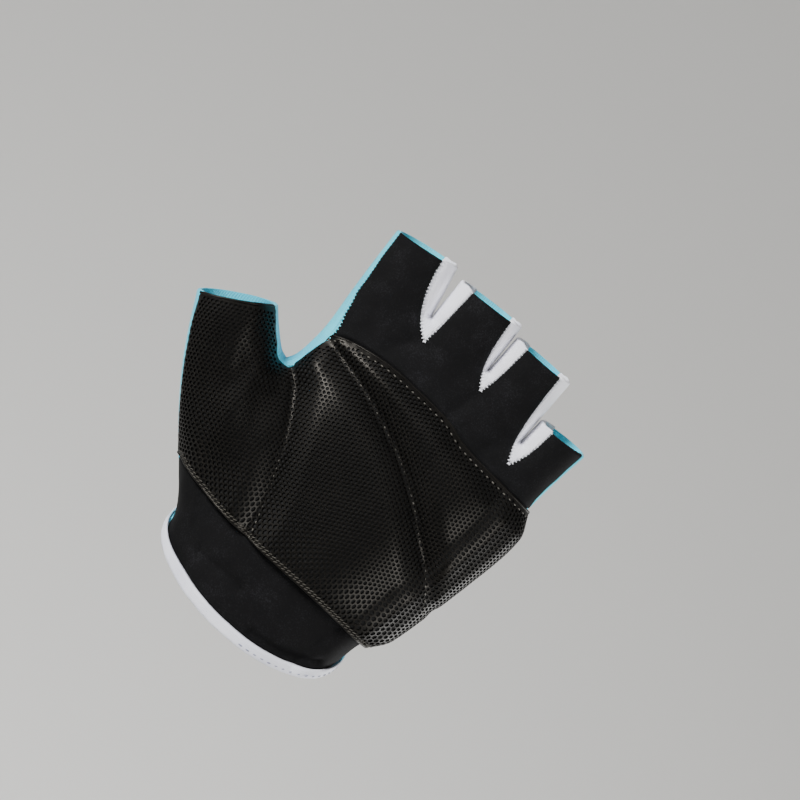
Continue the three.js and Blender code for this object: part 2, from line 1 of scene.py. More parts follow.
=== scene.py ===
"""Looks of a fingerless cycling glove, held open in the form that it has when worn.

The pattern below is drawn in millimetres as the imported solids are: x across the palm, z up from the
palm's crease at the wrist, and y through the hand, with the palm towards -Y. A piece is set down by
CUFF_SIDE and turned to metres when it becomes a Blender mesh, so that it lies in the frame of the part.
"""

from __future__ import annotations

import logging
import math
from collections.abc import Callable, Sequence
from dataclasses import dataclass, field, replace
from enum import Enum

import bpy
import numpy as np
from mathutils import Matrix, Vector
from mathutils.bvhtree import BVHTree

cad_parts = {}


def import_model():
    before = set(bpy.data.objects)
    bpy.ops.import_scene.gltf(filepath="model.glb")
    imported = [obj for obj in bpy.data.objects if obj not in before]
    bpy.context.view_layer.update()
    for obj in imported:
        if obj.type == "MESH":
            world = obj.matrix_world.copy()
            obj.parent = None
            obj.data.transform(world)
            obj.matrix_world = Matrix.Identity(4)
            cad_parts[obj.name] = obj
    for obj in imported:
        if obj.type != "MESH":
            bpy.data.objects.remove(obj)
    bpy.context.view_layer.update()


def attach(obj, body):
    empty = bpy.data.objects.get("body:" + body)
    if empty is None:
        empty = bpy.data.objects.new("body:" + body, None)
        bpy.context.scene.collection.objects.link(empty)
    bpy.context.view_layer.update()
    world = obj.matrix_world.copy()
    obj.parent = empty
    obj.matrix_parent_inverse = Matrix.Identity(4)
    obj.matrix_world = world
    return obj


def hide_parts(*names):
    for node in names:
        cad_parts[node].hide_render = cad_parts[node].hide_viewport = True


log = logging.getLogger("glove")

Array = np.ndarray
Lift = Callable[[Array], Array]
Runs = Sequence[tuple[Array, Array]]

MM = 0.001
CUFF_SIDE = 4.0
FAR = 1000.0
TINY = 1e-12
TARGET = (-0.0069, -0.012, 0.0749)


def linear(colour: str) -> tuple[float, float, float, float]:
    """Turn an sRGB hex colour to linear.

    Args:
        colour: Six hex digits.

    Returns:
        Red, green, blue and an alpha of one.
    """
    parts = [int(colour[i : i + 2], 16) / 255 for i in (0, 2, 4)]
    red, green, blue = (c / 12.92 if c <= 0.04045 else ((c + 0.055) / 1.055) ** 2.4 for c in parts)
    return red, green, blue, 1.0


def ease(value: Array | float) -> Array:
    """Rise smoothly from 0 to 1 as the value goes from 0 to 1."""
    held = np.clip(value, 0.0, 1.0)
    return held * held * (3 - 2 * held)


def mix(a: Array | float, b: Array | float, share: Array | float) -> Array | float:
    """Go from a to b by a share of the way."""
    return a + (b - a) * share


def bare(places: Array) -> Array:
    """Give the lift of cloth that lies on the filled form itself."""
    return np.zeros(len(places))


def rows_of(vectors: Array) -> Array:
    """Scale each row to length one, leaving rows of no length as they are."""
    length = np.linalg.norm(vectors, axis=1, keepdims=True)
    return vectors / np.where(length > TINY, length, 1.0)


def spline(points: Sequence[Sequence[float]], per_bend: int = 10) -> Array:
    """Draw a smooth line through points.

    Args:
        points: Places that the line passes through.
        per_bend: How many steps it takes from one point to the next.

    Returns:
        The line's places, one row each.
    """
    held = np.array(points, float)
    last = len(held) - 1
    at = np.linspace(0, last, len(held) * per_bend + 1)
    low = np.minimum(at.astype(int), last - 1)
    t = (at - low)[:, None]
    before, start = held[np.maximum(low - 1, 0)], held[low]
    end, after = held[low + 1], held[np.minimum(low + 2, last)]
    leave, arrive = (end - before) / 2, (after - start) / 2
    cubic = 2 * start - 2 * end + leave + arrive
    square = -3 * start + 3 * end - 2 * leave - arrive
    return cubic * t**3 + square * t**2 + leave * t + start


def distance_to_line(places: Array, line: Array, batch: int = 4000) -> Array:
    """Measure how far places are from an open line.

    Args:
        places: Places in plan, one row each.
        line: The line's places, one row each.
        batch: How many places are measured at once.

    Returns:
        A distance for each place.
    """
    start, way = line[:-1], np.diff(line, axis=0)
    square = np.maximum((way**2).sum(1), TINY)
    parts = []
    for first in range(0, len(places), batch):
        off = places[first : first + batch, None] - start
        share = np.clip((off * way).sum(2) / square, 0, 1)
        parts.append(np.linalg.norm(off - share[..., None] * way, axis=2).min(1))
    return np.concatenate(parts)


def distance_inside(places: Array, outline: Array) -> Array:
    """Measure how far places are inside a closed outline, with less than nothing outside it.

    Args:
        places: Places in plan, one row each.
        outline: The outline's corners in order.

    Returns:
        A signed distance for each place.
    """
    closed = np.vstack([outline, outline[:1]])
    inside = np.zeros(len(places), bool)
    for (x1, z1), (x2, z2) in zip(closed[:-1], closed[1:]):
        spans = (z1 > places[:, 1]) != (z2 > places[:, 1])
        crossing = x1 + (places[:, 1] - z1) * (x2 - x1) / ((z2 - z1) or TINY)
        inside ^= spans & (places[:, 0] < crossing)
    return np.where(inside, 1.0, -1.0) * distance_to_line(places, closed)


def stretches(run: Array, chosen: Array) -> list[Array]:
    """Give the stretches of a closed run whose points are chosen.

    Args:
        run: The numbers of the run's points, in order.
        chosen: For each point of the surface whether it is chosen.

    Returns:
        The stretches, each in order.
    """
    marks = chosen[run]
    if marks.all():
        return [np.append(run, run[0])]
    first = int(np.argmin(marks))
    run, marks = np.roll(run, -first), np.roll(marks, -first)
    parts = np.split(run, np.flatnonzero(np.diff(marks.astype(int))) + 1)
    return [part for part in parts if chosen[part[0]] and len(part) > 3]


@dataclass
class Cloth:
    """A surface of triangles in the drawing's millimetres, with traits known at each of its points."""

    points: Array
    triangles: Array
    traits: dict[str, Array] = field(default_factory=dict)

    def plan(self) -> Array:
        """Give the points as seen from the palm: across and up."""
        return self.points[:, [0, 2]]

    def normals(self) -> Array:
        """Give the way out of the surface at each point.

        Returns:
            A direction of length one for each point.
        """
        a, b, c = (self.points[self.triangles[:, i]] for i in range(3))
        face = np.cross(b - a, c - a)
        total = np.zeros_like(self.points)
        for i in range(3):
            np.add.at(total, self.triangles[:, i], face)
        return rows_of(total)

    def with_trait(self, name: str, values: Array) -> Cloth:
        """Give the same surface with one more trait."""
        return Cloth(self.points, self.triangles, {**self.traits, name: values})

    def moved(self, by: Array) -> Cloth:
        """Give the same surface with each point moved along its kept normal."""
        shift = self.traits["normal"] * np.asarray(by).reshape(-1, 1)
        return Cloth(self.points + shift, self.triangles, self.traits)

    def kept(self, triangles: Array) -> Cloth:
        """Give the part of the surface that these triangles hold.

        Args:
            triangles: The numbers of their corners.

        Returns:
            The part, with only the points that it uses.
        """
        used, inverse = np.unique(triangles, return_inverse=True)
        traits = {name: values[used] for name, values in self.traits.items()}
        return Cloth(self.points[used], inverse.reshape(-1, 3), traits)

    def cut(self, inside: Array) -> Cloth:
        """Cut the surface along the line where a value at its points is nothing.

        Args:
            inside: The value at each point, above nothing on the part that is kept.

        Returns:
            The part that is kept, with new points on the line.
        """
        keep = inside > 0
        count = keep[self.triangles].sum(1)
        crossing = self.triangles[(count == 1) | (count == 2)]
        lone_is_in = keep[crossing].sum(1) == 1
        lone = np.argmax(keep[crossing] == lone_is_in[:, None], axis=1)
        a, b, c = (crossing[np.arange(len(crossing)), (lone + i) % 3] for i in range(3))
        sides = np.sort(np.vstack([np.column_stack([a, b]), np.column_stack([a, c])]), axis=1)
        new, inverse = np.unique(sides, axis=0, return_inverse=True)
        new = new.reshape(-1, 2)
        low, high = inside[new[:, 0]], inside[new[:, 1]]
        share = low / (low - high)

        def between(values: Array) -> Array:
            """Give a trait at the new points."""
            part = share.reshape(-1, *[1] * (values.ndim - 1))
            return values[new[:, 0]] * (1 - part) + values[new[:, 1]] * part

        ab, ac = np.split(inverse.reshape(-1) + len(self.points), 2)
        small = np.column_stack([a, ab, ac])[lone_is_in]
        first = np.column_stack([ab, b, c])[~lone_is_in]
        second = np.column_stack([ab, c, ac])[~lone_is_in]
        traits = {n: np.concatenate([v, between(v)]) for n, v in self.traits.items()}
        points = np.vstack([self.points, between(self.points)])
        triangles = np.vstack([self.triangles[count == 3], small, first, second])
        return Cloth(points, triangles, traits).kept(triangles)

    def finer(self, share: float = 0.375) -> Cloth:
        """Cut each triangle in four, and let the new points bulge out as the old ones' normals say.

        Args:
            share: How much of the way to the planes of both old points a new one moves.

        Returns:
            The surface with its new points.
        """
        corners = [self.triangles[:, i] for i in range(3)]
        sides = np.vstack([np.column_stack([corners[i], corners[(i + 1) % 3]]) for i in range(3)])
        ends, inverse = np.unique(np.sort(sides, axis=1), axis=0, return_inverse=True)
        ends = ends.reshape(-1, 2)
        middle = self.points[ends].mean(1)
        bulge = np.zeros_like(middle)
        for i in range(2):
            normal = self.traits["normal"][ends[:, i]]
            rise = np.einsum("ij,ij->i", middle - self.points[ends[:, i]], normal)
            bulge -= share * rise[:, None] * normal
        traits = {n: np.concatenate([v, v[ends].mean(1)]) for n, v in self.traits.items()}
        traits["normal"] = rows_of(traits["normal"])
        ab, bc, ca = np.split(inverse.reshape(-1) + len(self.points), 3)
        a, b, c = corners
        small = [np.column_stack(row) for row in ((a, ab, ca), (ab, b, bc), (ca, bc, c), (ab, bc, ca))]
        return Cloth(np.vstack([self.points, middle + bulge]), np.vstack(small), traits)

    def rim(self) -> Array:
        """Give the open edges, each in the order in which its triangle runs.

        Returns:
            The two ends of each open edge.
        """
        edges = np.vstack([self.triangles[:, [0, 1]], self.triangles[:, [1, 2]], self.triangles[:, [2, 0]]])
        _, first, uses = np.unique(np.sort(edges, axis=1), axis=0, return_index=True, return_counts=True)
        return edges[first[uses == 1]]

    def borders(self) -> list[Array]:
        """Give the open edges as closed runs of points.

        Returns:
            The numbers of the points of each run, in order.
        """
        after = dict(map(tuple, self.rim()))
        runs = []
        while after:
            start, here = after.popitem()
            run = [start]
            while here != start and here in after:
                run.append(here)
                here = after.pop(here)
            runs.append(np.array(run))
        return runs

    def thick(self, wall: float, sunk: Array | float = 0.0) -> Cloth:
        """Give the surface a wall, closed along its rims.

        Args:
            wall: How far the inner face lies below the surface.
            sunk: How far the outer face is sunk at each point.

        Returns:
            One closed surface.
        """
        outer = self.moved(-np.broadcast_to(sunk, len(self.points)))
        inner = self.moved(np.full(len(self.points), -wall))
        count = len(self.points)
        a, b = self.rim().T
        sides = np.vstack([np.column_stack([b, a, a + count]), np.column_stack([b, a + count, b + count])])
        triangles = np.vstack([self.triangles, self.triangles[:, ::-1] + count, sides])
        traits = {name: np.concatenate([values, values]) for name, values in self.traits.items()}
        traits["inner"] = np.repeat([0.0, 1.0], count)
        return Cloth(np.vstack([outer.points, inner.points]), triangles, traits)


@dataclass(frozen=True)
class Opening:
    """The straight line of a sleeve's opening in plan."""

    x: float
    z: float
    width: float
    lean: float

    @property
    def middle(self) -> Array:
        """The middle of the line."""
        return np.array([self.x, self.z])

    @property
    def out(self) -> Array:
        """The way out of the sleeve."""
        return np.array([math.sin(math.radians(self.lean)), math.cos(math.radians(self.lean))])

    @property
    def half(self) -> Array:
        """From the middle to the end on the side of the little finger."""
        return np.array([self.out[1], -self.out[0]]) * self.width / 2

    @property
    def left(self) -> Array:
        """The end on the side of the thumb."""
        return self.middle - self.half

    @property
    def right(self) -> Array:
        """The end on the side of the little finger."""
        return self.middle + self.half


@dataclass(frozen=True)
class Plan:
    """The cut pattern in plan: openings, slits, side seams and the lines that part the sleeves."""

    cuff_width: float = 68.0
    palm_reach: float = 45.0
    knuckle_reach: float = 39.0
    web_height: float = 64.8
    web_shift: float = 2.2
    thumb_bow: float = 3.0
    slit_depth: float = 15.2
    little_slit_depth: float = 9.4
    slit_shifts: tuple[float, ...] = (2.6, 0.8, 0.6)
    cuff_shares: tuple[float, ...] = (0.22, 0.42, 0.62, 0.81)
    thumb_outer_share: float = 0.735
    widths: tuple[float, ...] = (24.3, 21.6, 23.4, 21.4, 17.4)
    tops: tuple[float, ...] = (68.6, 118.4, 119.2, 117.4, 104.2)
    leans: tuple[float, ...] = (-32.0, -10.0, -5.0, -2.0, -4.0)
    gaps: tuple[float, ...] = (3.2, 0.9, 1.1)
    thumb_reach: float = 64.0
    middle_offset: float = -6.4
    ulnar_side: tuple[tuple[float, float], ...] = (
        (0.09, 0.755),
        (0.17, 0.785),
        (0.26, 0.845),
        (0.38, 0.895),
        (0.56, 0.955),
        (0.71, 0.995),
        (0.84, 0.99),
    )
    run_on: float = 30.0

    @property
    def half_cuff(self) -> float:
        """Half the width of the cuff."""
        return self.cuff_width / 2

    @property
    def openings(self) -> list[Opening]:
        """The openings from the thumb to the little finger.

        Returns:
            Five openings.
        """
        _, index, middle, ring, little = self.widths
        middle_x = self.middle_offset
        index_x = middle_x - middle / 2 - self.gaps[0] - index / 2
        ring_x = middle_x + middle / 2 + self.gaps[1] + ring / 2
        little_x = ring_x + ring / 2 + self.gaps[2] + little / 2
        places = (-self.thumb_reach, index_x, middle_x, ring_x, little_x)
        return [Opening(*row) for row in zip(places, self.tops, self.widths, self.leans)]

    @property
    def feet(self) -> list[Array]:
        """The feet of the thumb's web and of the three slits.

        Returns:
            Four places in plan.
        """
        gates = self.openings
        heights = (self.tops[2] - self.slit_depth,) * 2 + (self.tops[4] - self.little_slit_depth,)
        slits = [
            np.array([(gates[k].right[0] + gates[k + 1].left[0]) / 2 + shift, height])
            for k, (shift, height) in enumerate(zip(self.slit_shifts, heights), start=1)
        ]
        return [np.array([-self.knuckle_reach - self.web_shift, self.web_height]), *slits]

    def thumb_outer(self) -> Array:
        """Draw the outer seam of the thumb, from the cuff up.

        Returns:
            The seam's places in plan.
        """
        corner = self.openings[0].left
        start = np.array([-self.half_cuff - 1.6, CUFF_SIDE + 7])
        way = rows_of((corner - start)[None])[0]
        aside = np.array([-way[1], way[0]])

        def along(share: float) -> Array:
            """Give a point of the bowed seam."""
            return mix(start, corner, share) + aside * self.thumb_bow * 4 * share * (1 - share)

        return spline([[-self.half_cuff, CUFF_SIDE], start, along(0.3), along(0.65), corner])

    def thumb_inner(self) -> Array:
        """Draw the inner seam of the thumb, from the web up.

        Returns:
            The seam's places in plan.
        """
        corner, foot = self.openings[0].right, self.feet[0]
        turn = foot + [-2.4, 0.8]
        return spline([foot, turn, mix(turn, corner, 0.48) + [0, -0.4], corner])

    def index_outer(self) -> Array:
        """Draw the outer seam of the index finger, from the web up.

        Returns:
            The seam's places in plan.
        """
        corner, foot, reach = self.openings[1].left, self.feet[0], self.knuckle_reach
        rows = [
            (-reach - 0.7, 0.06),
            (-reach, 0.17),
            (-reach, 0.32),
            (mix(-reach, corner[0], 0.4), 0.55),
            (mix(-reach, corner[0], 0.75), 0.8),
        ]
        return spline([foot, *[(x, mix(foot[1], corner[1], up)) for x, up in rows], corner])

    def ulnar(self) -> Array:
        """Draw the seam on the side of the little finger, from the cuff up.

        Returns:
            The seam's places in plan.
        """
        palm = [(reach * self.palm_reach, up * self.feet[3][1]) for up, reach in self.ulnar_side]
        corner, last = self.openings[4].right, palm[-1]
        knuckle = (mix(last[0], corner[0], 0.3), mix(last[1], corner[1], 0.5))
        return spline([(self.half_cuff, CUFF_SIDE), *palm, knuckle, corner])

    def seams(self) -> tuple[list[Array], list[Array]]:
        """Draw the seams on the left and on the right of each sleeve.

        Returns:
            Five seams on the left and five on the right.
        """
        gates, feet = self.openings, self.feet
        left = [self.thumb_outer(), self.index_outer()]
        left += [np.array([feet[k], gates[k + 1].left]) for k in (1, 2, 3)]
        right = [self.thumb_inner()]
        right += [np.array([feet[k], gates[k].right]) for k in (1, 2, 3)]
        return left, [*right, self.ulnar()]

    def side_seams(self) -> list[Array]:
        """Draw the six seams between the front and the back, each running on past its ends.

        Returns:
            The seams from the thumb to the little finger.
        """
        left, right = self.seams()
        foot = -self.run_on
        whole = [np.vstack([[-self.half_cuff, foot], left[0]])]
        whole += [np.vstack([right[k][::-1], left[k + 1][1:]]) for k in range(4)]
        whole += [np.vstack([[self.half_cuff, foot], right[4]])]

        def past(end: Array, before: Array) -> Array:
            """Give a place beyond the end of a seam."""
            return end + rows_of((end - before)[None])[0] * self.run_on

        return [np.vstack([past(s[0], s[1]), s, past(s[-1], s[-2])]) for s in whole]


@dataclass(frozen=True)
class Filling:
    """How the pattern is filled: the round of its sides, the rise of the palm and the hand's pose."""

    plan: Plan
    side_radius: float = 9.8
    palm_rise: float = 4.4
    rise_reach: float = 11.0
    heel_swell: float = 0.5
    wrist_bend: float = 6.0
    finger_curl: float = 3.0
    thumb_forward: float = 12.0
    thumb_root_lean: float = 21.0
    thumb_root_lead: float = 2.5
    thumb_root_share: float = 0.7
    panel_top: float = 82.0
    blend: float = 0.9
    probe: float = 0.05

    def distances(self, places: Array) -> Array:
        """Measure how far places in plan are from each side seam."""
        return np.array([distance_to_line(places, seam) for seam in self.plan.side_seams()])

    def blended(self, away: Array) -> Array:
        """Make one distance of the distances to all the seams, blending seams that are near."""
        return -self.blend * np.log(np.exp(-away / self.blend).sum(0) + 1e-300)

    def inside(self, places: Array) -> Array:
        """Measure how far places are inside the side seams."""
        return self.blended(self.distances(places))

    def side_share(self, places: Array) -> Array:
        """Give the share of the side's round: one on a side seam, nothing where the hand is full."""
        return np.maximum(0, 1 - self.inside(places) / self.side_radius)

    def way_out(self, places: Array) -> Array:
        """Give the way out of the pattern, from the nearest side seam.

        Args:
            places: Places in plan.

        Returns:
            A direction in plan for each place.
        """
        here = self.inside(places)
        right = self.inside(places + [self.probe, 0])
        up = self.inside(places + [0, self.probe])
        return rows_of(np.column_stack([here - right, here - up]))

    def heel(self, places: Array) -> Array:
        """Give the share of the heel of the hand, where it is thickest."""
        return 1 - ease((places[:, 1] - CUFF_SIDE) / (self.plan.web_height + self.side_radius))

    def half_thickness(self, places: Array, lift: Array) -> Array:
        """Give half the thickness of the hand under cloth that is lifted off it.

        Args:
            places: Places in plan.
            lift: How far the cloth is lifted at each.

        Returns:
            Half the thickness at each place.
        """
        away = self.distances(places)
        share = np.maximum(0, 1 - self.blended(away) / self.side_radius)
        fullness = np.sqrt(np.maximum(0, 1 - share**2))
        full = 1 - np.exp(-((np.maximum(0, away - self.side_radius) / self.rise_reach) ** 2))
        rise = np.sqrt(full.prod(0))
        swell = 1 + self.heel_swell * self.heel(places)
        return (self.side_radius * fullness + self.palm_rise * rise) * swell + lift * fullness

    def thumb_share(self, places: Array) -> Array:
        """Give how far out on the thumb a place is, as a share of the way to its opening.

        Args:
            places: Places in plan.

        Returns:
            A share for each place, nothing on the palm.
        """
        gate, foot = self.plan.openings[0], self.plan.feet[0]
        cuff = np.array([-self.plan.half_cuff, CUFF_SIDE])
        way = rows_of((gate.left - cuff)[None])[0]
        along = ease((places @ way - cuff @ way) / (gate.middle @ way - cuff @ way))
        lean = math.radians(self.thumb_root_lean)
        from_web = -np.array([math.cos(lean), math.sin(lean)])
        root = self.plan.widths[0] * self.thumb_root_share
        aside = ease(((places - foot) @ from_web + self.thumb_root_lead) / root)
        return along * aside

    def middle_y(self, places: Array) -> Array:
        """Give the depth of the sheet half-way through the hand.

        Args:
            places: Places in plan.

        Returns:
            The depth at each place, less towards the palm.
        """
        up = places[:, 1]
        bend = self.wrist_bend * ease((up - CUFF_SIDE) / self.plan.web_height)
        curl = self.finger_curl * ease((up - self.panel_top) / (self.plan.tops[2] - self.panel_top))
        return -bend - curl - self.thumb_forward * self.thumb_share(places)


@dataclass(frozen=True)
class Fold:
    """A fold of the palm side: a line in plan, its depth and half its width."""

    line: tuple[tuple[float, float], ...]
    depth: float
    reach: float

    def at(self, places: Array) -> Array:
        """Give the depth of the fold at places in plan."""
        away = distance_to_line(places, np.array(self.line))
        return self.depth * np.exp(-((away / self.reach) ** 2))


FOLDS = (
    Fold(((-20.6, 13.5), (-11.2, 14.9), (-3.6, 15.2)), 1.4, 1.1),
    Fold(((8, 9.4), (18, 9.2), (29, 10.4)), 1.2, 1.3),
    Fold(((9, 96), (7, 87)), 0.9, 2.2),
    Fold(((25, 93), (22, 85)), 0.8, 2.2),
    Fold(((-15, 96), (-20, 88)), 0.8, 2.4),
)


@dataclass(frozen=True)
class PalmPanel:
    """The padded panel in plan: its edges, the lines that quilt it and the swell of its pads."""

    filling: Filling
    bottom: float = 17.2
    top: float = 82.0
    pad_height: float = 3.6
    pad_edge: float = 9.0
    valley_width: float = 1.1
    valley_depth: float = 0.9
    run_out: float = 6.0
    flange: float = 3.5
    flange_depth: float = 0.8
    flange_width: float = 1.3
    crown: float = 0.4
    overlay: float = 0.7
    past_top: float = 3.5
    overlay_end: float = 4.0
    overlay_fade: float = 8.0
    thumb_start: float = 0.25
    thumb_fade: float = 0.5
    web_clear: float = 9.0
    upper: tuple[tuple[float, float], ...] = (
        (-0.86, -4.6),
        (-0.76, -1.8),
        (-0.62, 0.6),
        (-0.36, 2.8),
        (-0.1, 3.1),
        (0.18, 2.6),
        (0.36, 0.6),
        (0.6, -0.2),
        (1.02, -0.9),
    )
    lower: tuple[tuple[float, float], ...] = (
        (-1.0, 3.6),
        (-0.8, 1.8),
        (-0.52, 0.5),
        (-0.1, 0.3),
        (0.34, 0.4),
        (0.84, -1.1),
    )
    thenar: tuple[tuple[float, float], ...] = (
        (-0.86, 0.72),
        (-0.75, 0.68),
        (-0.57, 0.51),
        (-0.47, 0.37),
        (-0.36, 0.2),
        (-0.24, -0.03),
    )
    heart: tuple[tuple[float, float], ...] = (
        (-0.76, 0.93),
        (-0.55, 0.9),
        (-0.31, 0.86),
        (-0.06, 0.8),
        (0.15, 0.74),
        (0.37, 0.65),
        (0.58, 0.54),
        (0.74, 0.46),
        (0.86, 0.37),
        (0.96, 0.28),
    )

    def _edge(self, rows: Sequence[tuple[float, float]], base: float) -> Array:
        """Draw an edge of the panel."""
        reach = self.filling.plan.palm_reach
        return spline([(across * reach, base + up) for across, up in rows])

    def _quilting(self, rows: Sequence[tuple[float, float]]) -> Array:
        """Draw a line that quilts the panel."""
        reach = self.filling.plan.palm_reach
        return spline([(across * reach, mix(self.bottom, self.top, up)) for across, up in rows])

    def upper_edge(self) -> Array:
        """Draw the edge below the fingers."""
        return self._edge(self.upper, self.top)

    def lower_edge(self) -> Array:
        """Draw the edge above the heel of the hand."""
        return self._edge(self.lower, self.bottom)

    def quilting(self) -> list[Array]:
        """Draw the two lines that quilt the panel."""
        return [self._quilting(self.thenar), self._quilting(self.heart)]

    def outline(self) -> Array:
        """Draw the panel in plan; it takes in the thumb as far as its opening.

        Returns:
            The outline's corners in order.
        """
        upper, lower = self.upper_edge(), self.lower_edge()
        web = upper[0] - [self.web_clear, 0]
        left, right = -FAR, FAR
        head = [[left, lower[0][1]]]
        side = [[right, lower[-1][1]], [right, upper[-1][1]]]
        return np.vstack([head, lower, side, upper[::-1], [web, [web[0], FAR], [left, FAR]]])

    def inside(self, places: Array) -> Array:
        """Measure how far places in plan are inside the panel."""
        return distance_inside(places, self.outline())

    def lift(self, places: Array) -> Array:
        """Give how far the padded cloth lies off the filled form.

        Args:
            places: Places in plan.

        Returns:
            The distance at each place.
        """
        lines = [*self.quilting(), self.upper_edge(), self.lower_edge()]
        away = np.array([distance_to_line(places, line) for line in lines])
        radius = self.filling.side_radius
        ulnar = distance_to_line(places, self.filling.plan.side_seams()[5])
        away[:2] += self.run_out * (1 - ease(ulnar / radius))
        near = np.clip(away.min(0) / self.pad_edge, 0, 1)
        lobe = self.crown * ease(near) + (1 - self.crown) * np.sin(near * math.pi / 2)
        within = (places[:, 1] > self.bottom) & (places[:, 1] < self.top + self.past_top)
        thumb = 1 - ease((self.filling.thumb_share(places) - self.thumb_start) / self.thumb_fade)
        seams = self.filling.plan.side_seams()[:2]
        radial = np.prod([ease(distance_to_line(places, seam) / radius) for seam in seams], axis=0)
        sewn = self.valley_depth * np.exp(-((away[:2].min(0) / self.valley_width) ** 2))
        sewn += self.flange_depth * lobe * np.exp(-(((ulnar - self.flange) / self.flange_width) ** 2))
        fade = 1 - ease((places[:, 1] - self.top - self.overlay_end) / self.overlay_fade)
        return (self.overlay - sewn) * fade + self.pad_height * lobe * within * thumb * radial


@dataclass(frozen=True)
class Comb:
    """Draws the filled pattern as sleeves side by side, with the front and the back in one surface."""

    filling: Filling
    strips: int = 26
    step: float = 1.1
    hem_dip: float = 12.6
    hem_fade: float = 26.0
    binding_width: float = 3.8
    opening_slope: float = 0.13
    thumb_travel: float = 10.0
    edge_fade: float = 14.0
    near_foot: tuple[float, ...] = (3.0, 2.2, 1.5, 0.9, 0.45, 0.15)
    near_opening: tuple[float, ...] = (2.4, 1.6, 1.0, 0.6, 0.3, 0.1)

    @property
    def plan(self) -> Plan:
        """The pattern in plan."""
        return self.filling.plan

    def beds(self) -> list[float]:
        """Give the row of each sleeve where its last slit begins."""
        heights = [foot[1] for foot in self.plan.feet]
        return [max(heights[max(k - 1, 0) : k + 1]) for k in range(5)]

    def rows(self, k: int, start: float, past: float) -> list[float]:
        """Give the rows of a sleeve, closing up at the feet of slits and at the opening.

        Args:
            k: The sleeve, counted from the thumb.
            start: The lowest row.
            past: How far the rows go on past the opening.

        Returns:
            The rows' heights in the palm.
        """
        gate, bed = self.plan.openings[k], self.beds()[k]
        levels = sorted({start, bed, *(foot[1] for foot in self.plan.feet)})
        levels = [level for level in levels if start <= level <= bed]
        rows: list[float] = []
        for low, high in zip(levels[:-1], levels[1:]):
            near = [d for d in self.near_foot if d < (high - low) / 2]
            top = high - (near[0] if near else 0)
            count = max(1, round((top - low) / self.step))
            rows += list(np.linspace(low, top, count, endpoint=False))
            rows += [high - d for d in near]
        travel = gate.z - bed + (self.thumb_travel if k == 0 else 0.0)
        rate = (gate.z - bed) / travel
        last = gate.z - self.near_opening[0] * rate
        count = max(2, round(travel / self.step))
        rows += list(np.linspace(bed, last, count, endpoint=False))
        rows += [gate.z - d * rate for d in self.near_opening] + [gate.z]
        if past > 0:
            rows += list(np.linspace(gate.z, gate.z + past, 4)[1:])
        return rows

    def _seam_at(self, seam: Array, height: float) -> Array:
        """Give the place of a seam at a height.

        Args:
            seam: The seam's places.
            height: The height in plan.

        Returns:
            The place in plan.
        """
        i = int(np.clip(np.searchsorted(seam[:, 1], height), 1, len(seam) - 1))
        low, high = seam[i - 1], seam[i]
        return np.array([mix(low[0], high[0], (height - low[1]) / (high[1] - low[1])), height])

    def _side(self, k: int, right: bool, v: float) -> Array:
        """Give one side of a sleeve at a row.

        Args:
            k: The sleeve.
            right: Whether it is the side of the little finger.
            v: The row.

        Returns:
            The place in plan.
        """
        plan, gate, feet = self.plan, self.plan.openings[k], self.plan.feet
        seam = plan.seams()[1 if right else 0][k]
        corner = gate.right if right else gate.left
        is_thumb_outer = k == 0 and not right
        is_outline = is_thumb_outer or (k == 4 and right)
        slit = k if right else k - 1
        bed = self.beds()[k]

        def height(value: float) -> float:
            """Give the seam's height for a row."""
            return CUFF_SIDE + (value - CUFF_SIDE) * plan.thumb_outer_share if is_thumb_outer else value

        if v > gate.z:
            return corner + gate.out * (v - gate.z)
        if v > bed:
            return self._seam_at(seam, mix(height(bed), corner[1], (v - bed) / (gate.z - bed)))
        if not is_outline and v <= feet[slit][1]:
            share = np.clip((v - CUFF_SIDE) / (feet[slit][1] - CUFF_SIDE), 0, 1)
            cuff = mix(-plan.half_cuff, plan.half_cuff, plan.cuff_shares[slit])
            return np.array([mix(cuff, feet[slit][0], share**1.5), v])
        if v < CUFF_SIDE:
            return np.array([seam[0][0], v])
        return self._seam_at(seam, height(v))

    def _is_edge(self, k: int, right: bool, v: float) -> bool:
        """Tell whether a side of a sleeve is on the pattern's outline.

        Args:
            k: The sleeve.
            right: Whether it is the side of the little finger.
            v: The row.

        Returns:
            Whether the cloth turns round to the back there.
        """
        if (k == 0 and not right) or (k == 4 and right):
            return True
        return v >= self.plan.feet[k if right else k - 1][1]

    def _edge_way(self, k: int, right: bool, v: float) -> Array:
        """Give the way out of the pattern at an open side.

        Args:
            k: The sleeve.
            right: Whether it is the side of the little finger.
            v: The row.

        Returns:
            A direction in plan.
        """
        slit = k if right else k - 1
        if 0 <= slit < 4 and v == self.plan.feet[slit][1]:
            return np.array([0.0, 1.0])
        probe = self.filling.probe
        way = rows_of((self._side(k, right, v + probe) - self._side(k, right, v))[None])[0]
        return np.array([way[1], -way[0]]) if right else np.array([-way[1], way[0]])

    def _shares(self, k: int, v: float) -> Array:
        """Give the places across a sleeve, closer together towards an open side.

        Args:
            k: The sleeve.
            v: The row.

        Returns:
            Shares of the way from left to right.
        """
        even = np.linspace(0, 1, self.strips + 1)
        bent = (1 - np.cos(math.pi * even)) / 2
        near = np.ones_like(even)
        for right, part in ((False, even < 0.5), (True, even >= 0.5)):
            if not self._is_edge(k, right, v):
                foot = self.plan.feet[k if right else k - 1][1]
                near[part] = 1 - ease((foot - v) / self.edge_fade)
        return mix(even, bent, near)

